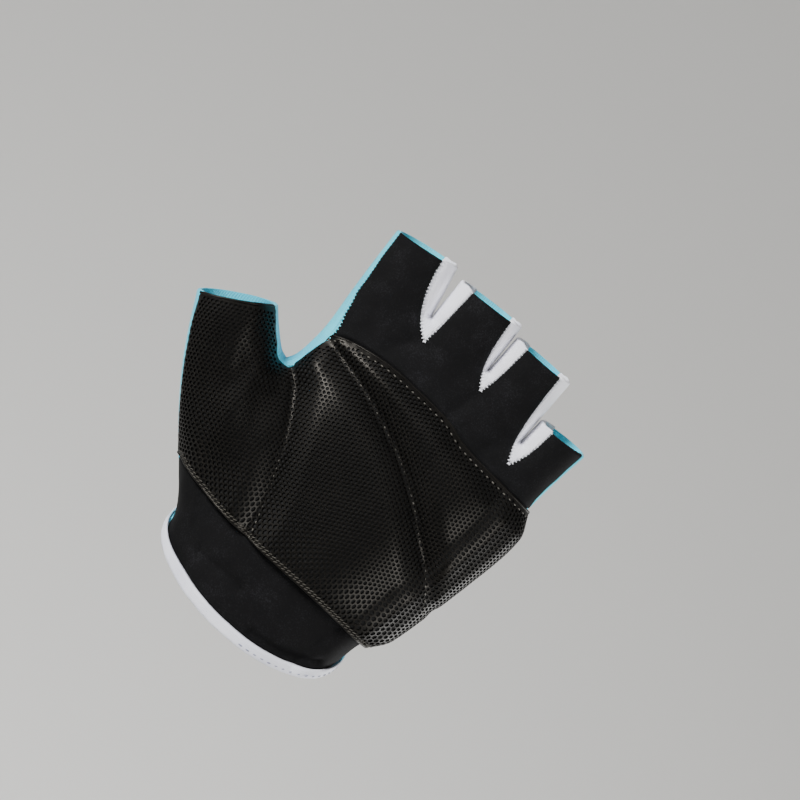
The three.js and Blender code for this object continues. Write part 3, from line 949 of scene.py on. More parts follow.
    def _grid(self, k: int, rows: Sequence[float]) -> dict[str, Array]:
        """Give the places in plan of a sleeve's rows, and the way out of the pattern on its sides.

        Args:
            k: The sleeve.
            rows: The rows' heights in the palm.

        Returns:
            The places, whether each is on an open side, the ways out and the rows.
        """
        left = np.array([self._side(k, False, v) for v in rows])
        right = np.array([self._side(k, True, v) for v in rows])
        shares = np.array([self._shares(k, v) for v in rows])[..., None]
        q = left[:, None] * (1 - shares) + right[:, None] * shares
        q[:, -1] = right
        edge = np.zeros(q.shape[:2], bool)
        way = np.zeros_like(q)
        for column, side in ((0, False), (-1, True)):
            edge[:, column] = [self._is_edge(k, side, v) for v in rows]
            way[:, column] = [self._edge_way(k, side, v) for v in rows]
        v = np.repeat(np.array(rows)[:, None], self.strips + 1, axis=1)
        return {"q": q, "edge": edge, "way": way, "v": v}

    def dip(self, v: Array, x: Array) -> Array:
        """Give how far the hem's dip lowers the palm and raises the back: an arc across the glove.

        Args:
            v: The row of each place.
            x: How far across each place lies.

        Returns:
            The dip at each place.
        """
        rows, index = np.unique(v, return_inverse=True)
        left = np.array([self._side(0, False, row)[0] for row in rows])[index]
        right = np.array([self._side(4, True, row)[0] for row in rows])[index]
        share = np.clip((x - left) / (right - left), 0, 1)
        fade = 1 - ease((v - CUFF_SIDE - self.binding_width) / self.hem_fade)
        return self.hem_dip * 2 * np.sqrt(share * (1 - share)) * fade

    def place(
        self, k: int, grid: dict[str, Array], face: int, lift: Lift
    ) -> tuple[Array, dict[str, Array]]:
        """Place the points of a sleeve's grid on the front or the back.

        Args:
            k: The sleeve, counted from the thumb.
            grid: The grid in plan.
            face: -1 for the front, 1 for the back.
            lift: How far the cloth lies off the form at places in plan.

        Returns:
            The points, and the traits known at each.
        """
        fill, gate = self.filling, self.plan.openings[k]
        q, edge, v = grid["q"].reshape(-1, 2), grid["edge"].ravel(), grid["v"].ravel()
        held = q - gate.out * np.maximum(0, v - gate.z)[:, None]
        raised = lift(held)
        way = np.where(edge[:, None], grid["way"].reshape(-1, 2), fill.way_out(held))
        round_ = np.where(edge, 1.0, fill.side_share(held))
        p = q + way * (raised * round_)[:, None]
        stand = np.where(edge, 0.0, face * fill.half_thickness(held, raised))
        plain = np.maximum(fill.half_thickness(held, bare(q)), 1e-6)
        dip = np.where(edge, 0.0, self.dip(v, q[:, 0]) * stand / plain)
        bed = self.beds()[k]
        slope = self.opening_slope * ease((v - bed) / (gate.z - bed))
        points = np.column_stack([
            p[:, 0] + gate.out[0] * slope * stand,
            fill.middle_y(held) + stand,
            p[:, 1] + dip + gate.out[1] * slope * stand,
        ])
        arc = np.arcsin(np.clip(round_, 0, 1))
        open_at = np.where(v > bed - 20, (gate.middle - q) @ gate.out, FAR)
        traits = {
            "q": q,
            "way": way,
            "round": round_,
            "arc": np.where(edge, math.pi / 2, arc if face < 0 else math.pi - arc),
            "v": v,
            "to_opening": open_at,
            "sleeve": np.full(len(q), float(k)),
        }
        return points, traits

    def surface(self, lift: Lift, start: float = CUFF_SIDE, past: float = 0.0) -> Cloth:
        """Draw the whole filled pattern as one surface, open at the cuff and at the openings.

        Args:
            lift: How far the cloth lies off the form at places in plan.
            start: The lowest row.
            past: How far the sleeves go on past their openings.

        Returns:
            The surface, with its normals among its traits.
        """
        points, triangles, traits = [], [], []
        count = 0
        for k in range(5):
            rows = self.rows(k, start, past)
            grid = self._grid(k, rows)
            for face in (-1, 1):
                placed, known = self.place(k, grid, face, lift)
                ids = np.arange(len(placed)).reshape(len(rows), -1) + count
                a, b, c, d = ids[:-1, 1:], ids[1:, 1:], ids[1:, :-1], ids[:-1, :-1]
                if face > 0:
                    b, d = d, b
                quads = np.stack([a, b, c, d], axis=-1).reshape(-1, 4)
                triangles += [quads[:, [0, 1, 2]], quads[:, [0, 2, 3]]]
                points.append(placed)
                traits.append(known)
                count += len(placed)
        whole = np.vstack(points)
        known = {name: np.concatenate([row[name] for row in traits]) for name in traits[0]}
        _, first, inverse = np.unique(np.round(whole, 4), axis=0, return_index=True, return_inverse=True)
        welded = inverse.reshape(-1)[np.vstack(triangles)]
        real = (welded != np.roll(welded, 1, axis=1)).all(1)
        cloth = Cloth(whole[first], welded[real], {name: values[first] for name, values in known.items()})
        return cloth.with_trait("normal", cloth.normals())

    def ring(self, v: float, lift: float, parts: int) -> Array:
        """Draw a closed loop round the cuff at one row.

        Args:
            v: The row.
            lift: How far the loop lies off the form.
            parts: How many steps it takes across a sleeve.

        Returns:
            The loop's points, in order.
        """
        finer = replace(self, strips=parts)
        front, back = [], []
        for k in range(5):
            grid = finer._grid(k, [v])
            ahead, _ = finer.place(k, grid, -1, lambda q: np.full(len(q), lift))
            behind, _ = finer.place(k, grid, 1, lambda q: np.full(len(q), lift))
            front.append(ahead[:-1])
            back.insert(0, behind[:0:-1])
        return np.vstack(front + back)


@dataclass(frozen=True)
class SideSeam:
    """Where the palm meets the back: how far round the side the seam runs, in degrees."""

    filling: Filling
    stations: tuple[tuple[float, float, float], ...] = (
        (-33, 6, 38),
        (-40, 13, 3),
        (-49, 24, 37),
        (-60, 40, 40),
        (-74, 61, 38),
        (-52, 73, 27),
        (-47, 68, 30),
        (-41, 65, 48),
        (-39, 73, 56),
        (-39, 81, 49),
        (-40, 88, 39),
        (-41, 96, 31),
        (-43, 113, 27),
        (-18, 104, 0),
        (-20, 118, 0),
        (6, 104, 0),
        (5, 118, 0),
        (28, 96, 0),
        (27, 116, 0),
        (46, 103, 22),
        (44, 88, 20),
        (45, 76, -8),
        (42, 45, -12),
        (35, 14, 4),
    )
    soft: float = 4.0

    def in_front(self, cloth: Cloth) -> Array:
        """Measure how far the points of a surface are in front of the seam.

        Args:
            cloth: The surface.

        Returns:
            A distance for each point, less than nothing behind.
        """
        places = cloth.plan()
        table = np.array(self.stations)
        square = ((places[:, None] - table[:, :2]) ** 2).sum(2) + self.soft**2
        weight = 1 / square**2
        turn = np.radians((weight * table[:, 2]).sum(1) / weight.sum(1))
        seam = self.filling.middle_y(places) - self.filling.side_radius * np.sin(turn)
        return seam - cloth.points[:, 1]


@dataclass(frozen=True)
class GussetCut:
    """The outline of a white gusset in plan: its width beside the slit and the place of its point."""

    name: str
    slit: int
    left: float
    right: float
    drop: float
    aside: float

    def outline(self, plan: Plan) -> Array:
        """Draw the gusset in plan, from its point up both sides of the slit.

        Args:
            plan: The pattern in plan.

        Returns:
            The outline's corners in order.
        """
        foot, gates = plan.feet[self.slit], plan.openings
        tip = foot + [self.aside, -self.drop]
        corners = (
            (gates[self.slit + 1].left + [self.right, 0], 0.9),
            (gates[self.slit].right - [self.left, 0], 0.8),
        )
        t = np.linspace(0, 1, 13)[:, None]
        sides = []
        for corner, pull in corners:
            control = np.array([mix(tip[0], corner[0], pull), mix(tip[1], corner[1], 0.25)])
            bend = (1 - t) ** 2 * tip + 2 * t * (1 - t) * control + t**2 * corner
            sides.append(np.vstack([bend, [corner[0], FAR]]))
        return np.vstack([sides[0], sides[1][::-1]])

    def inside(self, plan: Plan, places: Array) -> Array:
        """Measure how far places in plan are inside the gusset."""
        return distance_inside(places, self.outline(plan))


GUSSETS = (
    GussetCut("fourchette_index_middle", 1, 4.6, 4.9, 7.2, 3.6),
    GussetCut("fourchette_middle_ring", 2, 3.4, 4.3, 6.4, 2.4),
    GussetCut("fourchette_ring_little", 3, 3.4, 4.6, 7.6, 1.4),
)


Settings = dict[str, object]


def add_node(tree: bpy.types.NodeTree, kind: str, settings: Settings, links: Settings) -> bpy.types.Node:
    """Add a node with its settings and links.

    Args:
        tree: The tree that the node goes into.
        kind: The node's type.
        settings: Properties by name, and values of inputs by the inputs' names or numbers.
        links: For an input's name or number, the output that feeds it.

    Returns:
        The node.
    """
    node = tree.nodes.new(kind)
    for name, value in settings.items():
        if isinstance(name, str) and hasattr(node, name):
            setattr(node, name, value)
    for name, value in settings.items():
        if isinstance(name, int) or not hasattr(node, name):
            node.inputs[name].default_value = value
    for name, output in links.items():
        tree.links.new(output, node.inputs[name])
    return node


@dataclass(frozen=True)
class Finish:
    """What every finish has: its name, its colour and how rough it is."""

    name: str
    colour: str
    roughness: float

    def material(self) -> bpy.types.Material:
        """Make the material, or give the one that is already made.

        Returns:
            The material.
        """
        made = bpy.data.materials.get(self.name)
        if made:
            return made
        made = bpy.data.materials.new(self.name)
        made.use_nodes = True
        tree = made.node_tree
        tree.nodes.clear()
        shader = add_node(
            tree,
            "ShaderNodeBsdfPrincipled",
            {"Base Color": linear(self.colour), "Roughness": self.roughness},
            {},
        )
        self.dress(tree, shader)
        add_node(tree, "ShaderNodeOutputMaterial", {}, {"Surface": shader.outputs[0]})
        return made

    def dress(self, tree: bpy.types.NodeTree, shader: bpy.types.Node) -> None:
        """Add what the finish has besides one colour."""

    @staticmethod
    def ramp(tree: bpy.types.NodeTree, source: object, stops: Sequence[tuple[float, str]]) -> object:
        """Turn a value into colours.

        Args:
            tree: The material's tree.
            source: The output that gives the value.
            stops: Places and sRGB colours of the ramp.

        Returns:
            The output with the colour.
        """
        node = add_node(tree, "ShaderNodeValToRGB", {}, {"Fac": source})
        bar = node.color_ramp.elements
        for element, (place, colour) in zip((bar[0], bar[1]), (stops[0], stops[-1])):
            element.position, element.color = place, linear(colour)
        for place, colour in stops[1:-1]:
            bar.new(place).color = linear(colour)
        return node.outputs["Color"]

    @staticmethod
    def noise(tree: bpy.types.NodeTree, size: float, detail: float, roughness: float = 0.5) -> object:
        """Add an uneven pattern that stays with the piece.

        Args:
            tree: The material's tree.
            size: How far apart its patches are, in millimetres.
            detail: How many finer layers it has.
            roughness: How strong the finer layers are.

        Returns:
            The output with the pattern's value.
        """
        place = add_node(tree, "ShaderNodeTexCoord", {}, {}).outputs["Object"]
        settings = {"Scale": 1 / (size * MM), "Detail": detail, "Roughness": roughness}
        return add_node(tree, "ShaderNodeTexNoise", settings, {"Vector": place}).outputs[0]

    @staticmethod
    def plus(tree: bpy.types.NodeTree, value: object, share: float, rest: object) -> object:
        """Add a share of one value to another one."""
        settings = {"operation": "MULTIPLY_ADD", 1: share}
        return add_node(tree, "ShaderNodeMath", settings, {0: value, 2: rest}).outputs[0]

    @staticmethod
    def emboss(shader: bpy.types.Node, height: object, strength: float, depth: float) -> None:
        """Raise the surface by a pattern.

        Args:
            shader: The finish's shader.
            height: The output with the pattern's value.
            strength: How much of the relief shows.
            depth: The relief in millimetres.
        """
        tree = shader.id_data
        bump = add_node(
            tree, "ShaderNodeBump", {"Strength": strength, "Distance": depth * MM}, {"Height": height}
        )
        tree.links.new(bump.outputs[0], shader.inputs["Normal"])


@dataclass(frozen=True)
class PerforatedLeather(Finish):
    """Black perforated synthetic leather: an embossed coat with a dull, warm shine."""

    grain: float = 0.45
    cloud: float = 9.0
    warm: str = "0e0d0c"
    shine: float = 0.24
    tint: str = "f6efe4"

    def dress(self, tree: bpy.types.NodeTree, shader: bpy.types.Node) -> None:
        """Add a fine grain and slow changes of tone.

        Args:
            tree: The material's tree.
            shader: Its shader.
        """
        tone = self.noise(tree, self.cloud, 3.0)
        grain = self.noise(tree, self.grain, 2.0)
        colour = self.ramp(tree, tone, [(0.35, self.colour), (0.7, self.warm)])
        tree.links.new(colour, shader.inputs["Base Color"])
        least, most = self.roughness - 0.05, self.roughness + 0.09
        rough = add_node(tree, "ShaderNodeMapRange", {3: least, 4: most}, {0: grain})
        tree.links.new(rough.outputs[0], shader.inputs["Roughness"])
        self.emboss(shader, grain, 0.25, 0.06)
        shader.inputs["Specular IOR Level"].default_value = self.shine
        shader.inputs["Specular Tint"].default_value = linear(self.tint)


@dataclass(frozen=True)
class Suede(Finish):
    """Black synthetic suede: matt brushed fibres, with a few paler specks in the nap."""

    nap: float = 0.42
    cloud: float = 7.0
    brushed: str = "09090a"
    speck: str = "222225"

    def dress(self, tree: bpy.types.NodeTree, shader: bpy.types.Node) -> None:
        """Add the nap and its specks.

        Args:
            tree: The material's tree.
            shader: Its shader.
        """
        nap = self.noise(tree, self.nap, 4.0, 0.7)
        tone = self.plus(tree, self.noise(tree, self.cloud, 2.0), 0.35, nap)
        colour = self.ramp(tree, tone, [(0.42, self.colour), (0.72, self.brushed), (0.95, self.speck)])
        tree.links.new(colour, shader.inputs["Base Color"])
        self.emboss(shader, nap, 0.5, 0.12)
        shader.inputs["Sheen Weight"].default_value = 0.02
        shader.inputs["Sheen Roughness"].default_value = 0.6
        shader.inputs["Specular IOR Level"].default_value = 0.1


@dataclass(frozen=True)
class Knit(Finish):
    """Fine stretch knit: rows of loops that give the cloth a soft rib and a slight sheen, with painted
    shade between them.
    """

    wale: float = 0.8
    course: float = 1.25
    fuzz: float = 0.5
    cloud: float = 12.0
    painted_shade: str = "22b2da"
    relief: float = 0.1
    sheen: float = 0.3

    def dress(self, tree: bpy.types.NodeTree, shader: bpy.types.Node) -> None:
        """Add the loops of the knit, drawn as coarse as they need to show, painted shade where the loops
        lie low, and soft random changes of tone.

        Args:
            tree: The material's tree.
            shader: Its shader.
        """
        cloth = add_node(tree, "ShaderNodeUVMap", {"uv_map": "cloth_mm"}, {}).outputs[0]
        split = add_node(tree, "ShaderNodeSeparateXYZ", {}, {0: cloth})
        turn = 2 * math.pi / self.wale
        waves = []
        for axis, pace in ((0, turn), (1, turn * self.course)):
            along = split.outputs[axis]
            angle = add_node(tree, "ShaderNodeMath", {"operation": "MULTIPLY", 1: pace}, {0: along})
            wave = add_node(tree, "ShaderNodeMath", {"operation": "SINE"}, {0: angle.outputs[0]})
            waves.append(wave.outputs[0])
        loops = self.plus(tree, waves[1], 0.45, waves[0])
        height = self.plus(tree, self.noise(tree, self.fuzz, 3.0), 1.4, loops)
        tone = self.plus(tree, height, 0.1, self.noise(tree, self.cloud, 2.0))
        # Painted shade: the colour runs to the darker shaded copy where the loops lie low, and the slow
        # cloud moves it at random
        colour = self.ramp(tree, tone, [(0.0, self.painted_shade), (0.74, self.colour)])
        tree.links.new(colour, shader.inputs["Base Color"])
        self.emboss(shader, height, 0.6, self.relief)
        shader.inputs["Sheen Weight"].default_value = self.sheen
        shader.inputs["Sheen Roughness"].default_value = 0.4
        shader.inputs["Specular IOR Level"].default_value = 0.3


@dataclass(frozen=True)
class Thread(Finish):
    """Twisted polyester sewing thread: small slanted plies with a soft shine."""

    twist: float = 0.35

    def dress(self, tree: bpy.types.NodeTree, shader: bpy.types.Node) -> None:
        """Add the plies as a fine bump.

        Args:
            tree: The material's tree.
            shader: Its shader.
        """
        place = add_node(tree, "ShaderNodeTexCoord", {}, {}).outputs["Object"]
        settings = {"Scale": 1 / (self.twist * MM), "Distortion": 2.0}
        plies = add_node(tree, "ShaderNodeTexWave", settings, {"Vector": place})
        self.emboss(shader, plies.outputs[1], 0.5, 0.05)
        shader.inputs["Specular IOR Level"].default_value = 0.4


@dataclass(frozen=True)
class Plain(Finish):
    """A matt painted studio surface, or the painted shade on the sunk floor of a punched hole."""


# Embossed coat over foam: black with a broken, dull highlight along each padded lobe
LEATHER = PerforatedLeather("perforated_synthetic_leather", "060606", 0.4)
# Floors of the punched holes: painted shade, a near-black matt colour for the dark deep in each hole
HOLE_PAINTED_SHADE = Plain("punched_hole_shade", "050505", 0.9)
# Brushed microfibre: takes the light in and shows no highlight
SUEDE = Suede("brushed_black_suede", "050506", 0.8)
# Elastic knits and woven tape: a fine rib, and cool painted shade between the loops
LYCRA = Knit("aqua_stretch_knit", "4fd8ee", 0.6)
WHITE_KNIT = Knit("white_stretch_knit", "f6f6fc", 0.75, wale=0.6, painted_shade="dcdcea", relief=0.06, sheen=0.15)
TAPE = Knit("white_binding_tape", "f0f1f9", 0.7, wale=0.6, painted_shade="d6d8e8", relief=0.05, sheen=0.1)
# Spun threads: lighter than the cloth they sink into, so that each stitch shows
DARK_THREAD = Thread("dark_sewing_thread", "56534d", 0.4)
EDGE_THREAD = Thread("edge_sewing_thread", "48453e", 0.5)
WHITE_THREAD = Thread("white_sewing_thread", "eeeef4", 0.6)
GREY_THREAD = Thread("grey_sewing_thread", "8a8ea6", 0.6)
AQUA_THREAD = Thread("aqua_sewing_thread", "6fd6e6", 0.55)
# Matt paper: an even, warm grey ground without reflections
BACKDROP = Plain("pale_studio_paper", "d2d1ce", 0.9)


class GeometryTree:
    """A Geometry Nodes tree that is built node by node and applied to a piece."""

    def __init__(self, name: str) -> None:
        """Start a tree with geometry in and out.

        Args:
            name: The tree's name.
        """
        self.tree = bpy.data.node_groups.new(name, "GeometryNodeTree")
        face = self.tree.interface
        face.new_socket("Geometry", in_out="INPUT", socket_type="NodeSocketGeometry")
        face.new_socket("Geometry", in_out="OUTPUT", socket_type="NodeSocketGeometry")
        self.values: dict[str, object] = {}
        self.start = self.tree.nodes.new("NodeGroupInput")

    def size(self, name: str, value: float) -> object:
        """Add a named size and give its output.

        Args:
            name: What the size is called.
            value: The size.

        Returns:
            The output.
        """
        self.tree.interface.new_socket(name, in_out="INPUT", socket_type="NodeSocketFloat")
        self.values[name] = value
        return self.start.outputs[name]

    def finish(self, name: str, value: Finish) -> object:
        """Add a named finish and give its output.

        Args:
            name: What the finish is called.
            value: The finish.

        Returns:
            The output.
        """
        self.tree.interface.new_socket(name, in_out="INPUT", socket_type="NodeSocketMaterial")
        self.values[name] = value.material()
        return self.start.outputs[name]

    def add(
        self, kind: str, settings: Settings | None = None, links: Settings | None = None
    ) -> bpy.types.Node:
        """Add a node with its settings and links."""
        return add_node(self.tree, kind, settings or {}, links or {})

    def end(self, geometry: object, finish: object) -> None:
        """Close the tree with real meshes and their finish.

        Args:
            geometry: The output with the shapes.
            finish: The output with the finish.
        """
        real = self.add("GeometryNodeRealizeInstances", {}, {"Geometry": geometry})
        dressed = self.add("GeometryNodeSetMaterial", {}, {"Geometry": real.outputs[0], "Material": finish})
        self.add("NodeGroupOutput", {}, {0: dressed.outputs[0]})

    def apply(self, piece: bpy.types.Object) -> None:
        """Run the tree on a piece and keep the result as its plain mesh.

        Args:
            piece: The object that the tree starts from.
        """
        modifier = piece.modifiers.new(self.tree.name, "NODES")
        modifier.node_group = self.tree
        for item in self.tree.interface.items_tree:
            if item.item_type == "SOCKET" and item.in_out == "INPUT" and item.name in self.values:
                modifier[item.identifier] = self.values[item.name]
        graph = bpy.context.evaluated_depsgraph_get()
        made = bpy.data.meshes.new_from_object(piece.evaluated_get(graph), depsgraph=graph)
        piece.modifiers.remove(modifier)
        old, piece.data = piece.data, made
        made.name = piece.name
        bpy.data.meshes.remove(old)


class Facing(Enum):
    """The side of the glove that a pattern on the cloth is laid out from."""

    PALM = "palm"
    BACK = "back"


@dataclass(frozen=True)
class Workshop:
    """Turns drawn surfaces into Blender pieces and finds places on them."""

    filling: Filling

    def layout(self, cloth: Cloth, facing: Facing) -> Array:
        """Lay a surface out flat, in millimetres, keeping lengths round its sides.

        Args:
            cloth: The surface.
            facing: The side that keeps its place.

        Returns:
            Across and up for each point.
        """
        radius = self.filling.side_radius
        arc = cloth.traits["arc"] if facing is Facing.PALM else math.pi - cloth.traits["arc"]
        reach = radius * (arc - cloth.traits["round"])
        return cloth.traits["q"] + cloth.traits["way"] * reach[:, None]

    def piece(self, name: str, cloth: Cloth, finish: Finish, facing: Facing) -> bpy.types.Object:
        """Make a Blender object of a surface.

        Args:
            name: The object's name.
            cloth: The surface, in the drawing's millimetres.
            finish: What it is made of.
            facing: The side that its pattern is laid out from.

        Returns:
            The object, at the origin, with a UV map in millimetres.
        """
        mesh = bpy.data.meshes.new(name)
        points = (cloth.points - [0, 0, CUFF_SIDE]) * MM
        mesh.from_pydata(points.tolist(), [], cloth.triangles.tolist())
        mesh.materials.append(finish.material())
        if "arc" in cloth.traits:
            flat = self.layout(cloth, facing)
            layer = mesh.uv_layers.new(name="cloth_mm")
            corners = np.empty(len(mesh.loops), int)
            mesh.loops.foreach_get("vertex_index", corners)
            layer.uv.foreach_set("vector", flat[corners].astype(np.float32).ravel())
        mesh.shade_smooth()
        piece = bpy.data.objects.new(name, mesh)
        bpy.context.scene.collection.objects.link(piece)
        return piece

    def line_piece(self, name: str, runs: Runs, closed: bool) -> bpy.types.Object:
        """Make an object of lines with the way that each place faces.

        Args:
            name: The object's name.
            runs: For each line its points and its normals, in the drawing's millimetres.
            closed: Whether the lines are loops.

        Returns:
            The object, ready for a tree that follows lines.
        """
        points, facing, edges = [], [], []
        for line, normal in runs:
            ids = np.arange(len(line)) + sum(map(len, points))
            edges += list(zip(ids[:-1], ids[1:]))
            if closed:
                edges.append((ids[-1], ids[0]))
            points.append(line)
            facing.append(normal)
        mesh = bpy.data.meshes.new(name)
        placed = (np.vstack(points) - [0, 0, CUFF_SIDE]) * MM
        mesh.from_pydata(placed.tolist(), [(int(a), int(b)) for a, b in edges], [])
        way = mesh.attributes.new("facing", "FLOAT_VECTOR", "POINT")
        way.data.foreach_set("vector", np.vstack(facing).astype(np.float32).ravel())
        piece = bpy.data.objects.new(name, mesh)
        bpy.context.scene.collection.objects.link(piece)
        return piece

    @staticmethod
    def sharpened(piece: bpy.types.Object, degrees: float) -> None:
        """Mark the edges that turn by more than so many degrees as sharp."""
        piece.data.shade_smooth()
        piece.data.set_sharp_from_angle(angle=math.radians(degrees))

    @staticmethod
    def merged(name: str, pieces: Sequence[bpy.types.Object]) -> bpy.types.Object:
        """Join pieces into the first one and name it.

        Args:
            name: The name of the whole.
            pieces: The objects to join.

        Returns:
            The whole.
        """
        with bpy.context.temp_override(
            active_object=pieces[0], selected_editable_objects=list(pieces), object=pieces[0]
        ):
            bpy.ops.object.join()
        pieces[0].name = pieces[0].data.name = name
        return pieces[0]


@dataclass(frozen=True)
class OnCloth:
    """Drops lines drawn in plan onto the front or the back of a surface."""

    cloth: Cloth
    skip: float = 3.0

    def drop(self, line: Array, from_palm: bool = True) -> list[tuple[Array, Array]]:
        """Drop a line onto the surface along the depth of the hand.

        Args:
            line: Places in plan.
            from_palm: Whether it lands on the palm side.

        Returns:
            The places that land, and their normals, for each unbroken run.
        """
        tree = BVHTree.FromPolygons(self.cloth.points.tolist(), self.cloth.triangles.tolist())
        side = -FAR / 10 if from_palm else FAR / 10
        way = Vector((0, -side, 0)).normalized()
        hits = [tree.ray_cast(Vector((x, side, z)), way) for x, z in line]
        landed = [(*hit[0], *hit[1]) for hit in hits if hit[0] is not None]
        if len(landed) < 3:
            return []
        rows = np.array(landed)
        jumps = np.linalg.norm(np.diff(rows[:, :3], axis=0), axis=1) > self.skip
        parts = np.split(rows, np.flatnonzero(jumps) + 1)
        return [(part[:, :3], part[:, 3:]) for part in parts if len(part) > 2]


def evenly(line: Array, step: float) -> Array:
    """Give places at even steps along a line.

    Args:
        line: The line's places.
        step: The distance from one place to the next.

    Returns:
        The new places, both ends among them.
    """
    length = np.concatenate([[0], np.cumsum(np.linalg.norm(np.diff(line, axis=0), axis=1))])
    at = np.linspace(0, length[-1], max(2, round(length[-1] / step) + 1))
    return np.column_stack([np.interp(at, length, line[:, i]) for i in range(line.shape[1])])


def beside(line: Array, by: float) -> Array:
    """Move a line in plan to its right by so much, as one walks along it."""
    way = rows_of(np.gradient(line, axis=0))
    return line + np.column_stack([way[:, 1], -way[:, 0]]) * by


@dataclass(frozen=True)
class Stitching:
    """Rows of stitches along lines, each a short rounded thread that lies on the cloth."""

    finish: Finish
    pitch: float = 2.4
    length: float = 1.7
    width: float = 0.42
    height: float = 0.34
    slant: float = 0.0
    uneven: tuple[float, float] = (0.85, 1.12)
    seed: int = 7

    def sew(self, shop: Workshop, name: str, runs: Runs, closed: bool) -> bpy.types.Object:
        """Sew the rows.

        Args:
            shop: Where the lines become an object.
            name: The piece's name.
            runs: For each row its points and normals.
            closed: Whether the rows are loops.

        Returns:
            The stitches as one plain mesh.
        """
        piece = shop.line_piece(name, runs, closed)
        work = GeometryTree(name + "_rows")
        pitch = work.size("Pitch", self.pitch * MM)
        named = (("Length", self.length), ("Width", self.width), ("Height", self.height))
        sizes = [work.size(size_name, value * MM) for size_name, value in named]
        slant = work.size("Slant", math.radians(self.slant))
        finish = work.finish("Thread", self.finish)
        curve = work.add("GeometryNodeMeshToCurve", {}, {"Mesh": work.start.outputs[0]})
        even = work.add(
            "GeometryNodeResampleCurve", {"mode": "LENGTH"}, {"Curve": curve.outputs[0], "Length": pitch}
        )
        bead = work.add("GeometryNodeMeshUVSphere", {"Segments": 8, "Rings": 5, "Radius": 0.5})
        facing = work.add(
            "GeometryNodeInputNamedAttribute", {"data_type": "FLOAT_VECTOR", "Name": "facing"}
        )
        tangent = work.add("GeometryNodeInputTangent")
        stand = work.add("FunctionNodeAlignRotationToVector", {"axis": "Z"}, {"Vector": facing.outputs[0]})
        along = work.add(
            "FunctionNodeAlignRotationToVector",
            {"axis": "X", "pivot_axis": "Z"},
            {"Rotation": stand.outputs[0], "Vector": tangent.outputs[0]},
        )
        spin = work.add("ShaderNodeCombineXYZ", {}, {"Z": slant})
        turn = work.add("FunctionNodeEulerToRotation", {}, {0: spin.outputs[0]})
        turned = work.add(
            "FunctionNodeRotateRotation",
            {"rotation_space": "LOCAL"},
            {0: along.outputs[0], 1: turn.outputs[0]},
        )
        least, most = self.uneven
        worn = work.add(
            "FunctionNodeRandomValue", {"data_type": "FLOAT", 2: least, 3: most, "Seed": self.seed}
        )
        size = work.add("ShaderNodeCombineXYZ", {}, dict(zip("XYZ", sizes)))
        scale = work.add(
            "ShaderNodeVectorMath", {"operation": "SCALE"}, {0: size.outputs[0], "Scale": worn.outputs[1]}
        )
        rows = work.add(
            "GeometryNodeInstanceOnPoints",
            {},
            {
                "Points": even.outputs[0],
                "Instance": bead.outputs[0],
                "Rotation": turned.outputs[0],
                "Scale": scale.outputs[0],
            },
        )
        smooth = work.add("GeometryNodeSetShadeSmooth", {}, {0: rows.outputs[0]})
        work.end(smooth.outputs[0], finish)
        work.apply(piece)
        return piece


@dataclass(frozen=True)
class RolledEdge:
    """The turned edge of a panel: a soft round bead that follows its border."""

    finish: Finish
    radius: float = 0.75
    step: float = 0.9
    sides: int = 10

    def roll(self, shop: Workshop, name: str, runs: Runs, closed: bool) -> bpy.types.Object:
        """Lay the bead along lines.

        Args:
            shop: Where the lines become an object.
            name: The piece's name.
            runs: For each line its points and normals.
            closed: Whether the lines are loops.

        Returns:
            The bead as one plain mesh.
        """
        piece = shop.line_piece(name, runs, closed)
        work = GeometryTree(name + "_bead")
        step = work.size("Step", self.step * MM)
        radius = work.size("Radius", self.radius * MM)
        finish = work.finish("Cloth", self.finish)
        curve = work.add("GeometryNodeMeshToCurve", {}, {"Mesh": work.start.outputs[0]})
        even = work.add(
            "GeometryNodeResampleCurve", {"mode": "LENGTH"}, {"Curve": curve.outputs[0], "Length": step}
        )
        ring = work.add("GeometryNodeCurvePrimitiveCircle", {"Resolution": self.sides}, {"Radius": radius})
        tube = work.add(
            "GeometryNodeCurveToMesh",
            {"Fill Caps": True},
            {"Curve": even.outputs[0], "Profile Curve": ring.outputs[0]},
        )
        smooth = work.add("GeometryNodeSetShadeSmooth", {}, {0: tube.outputs[0]})
        work.end(smooth.outputs[0], finish)
        work.apply(piece)
        return piece


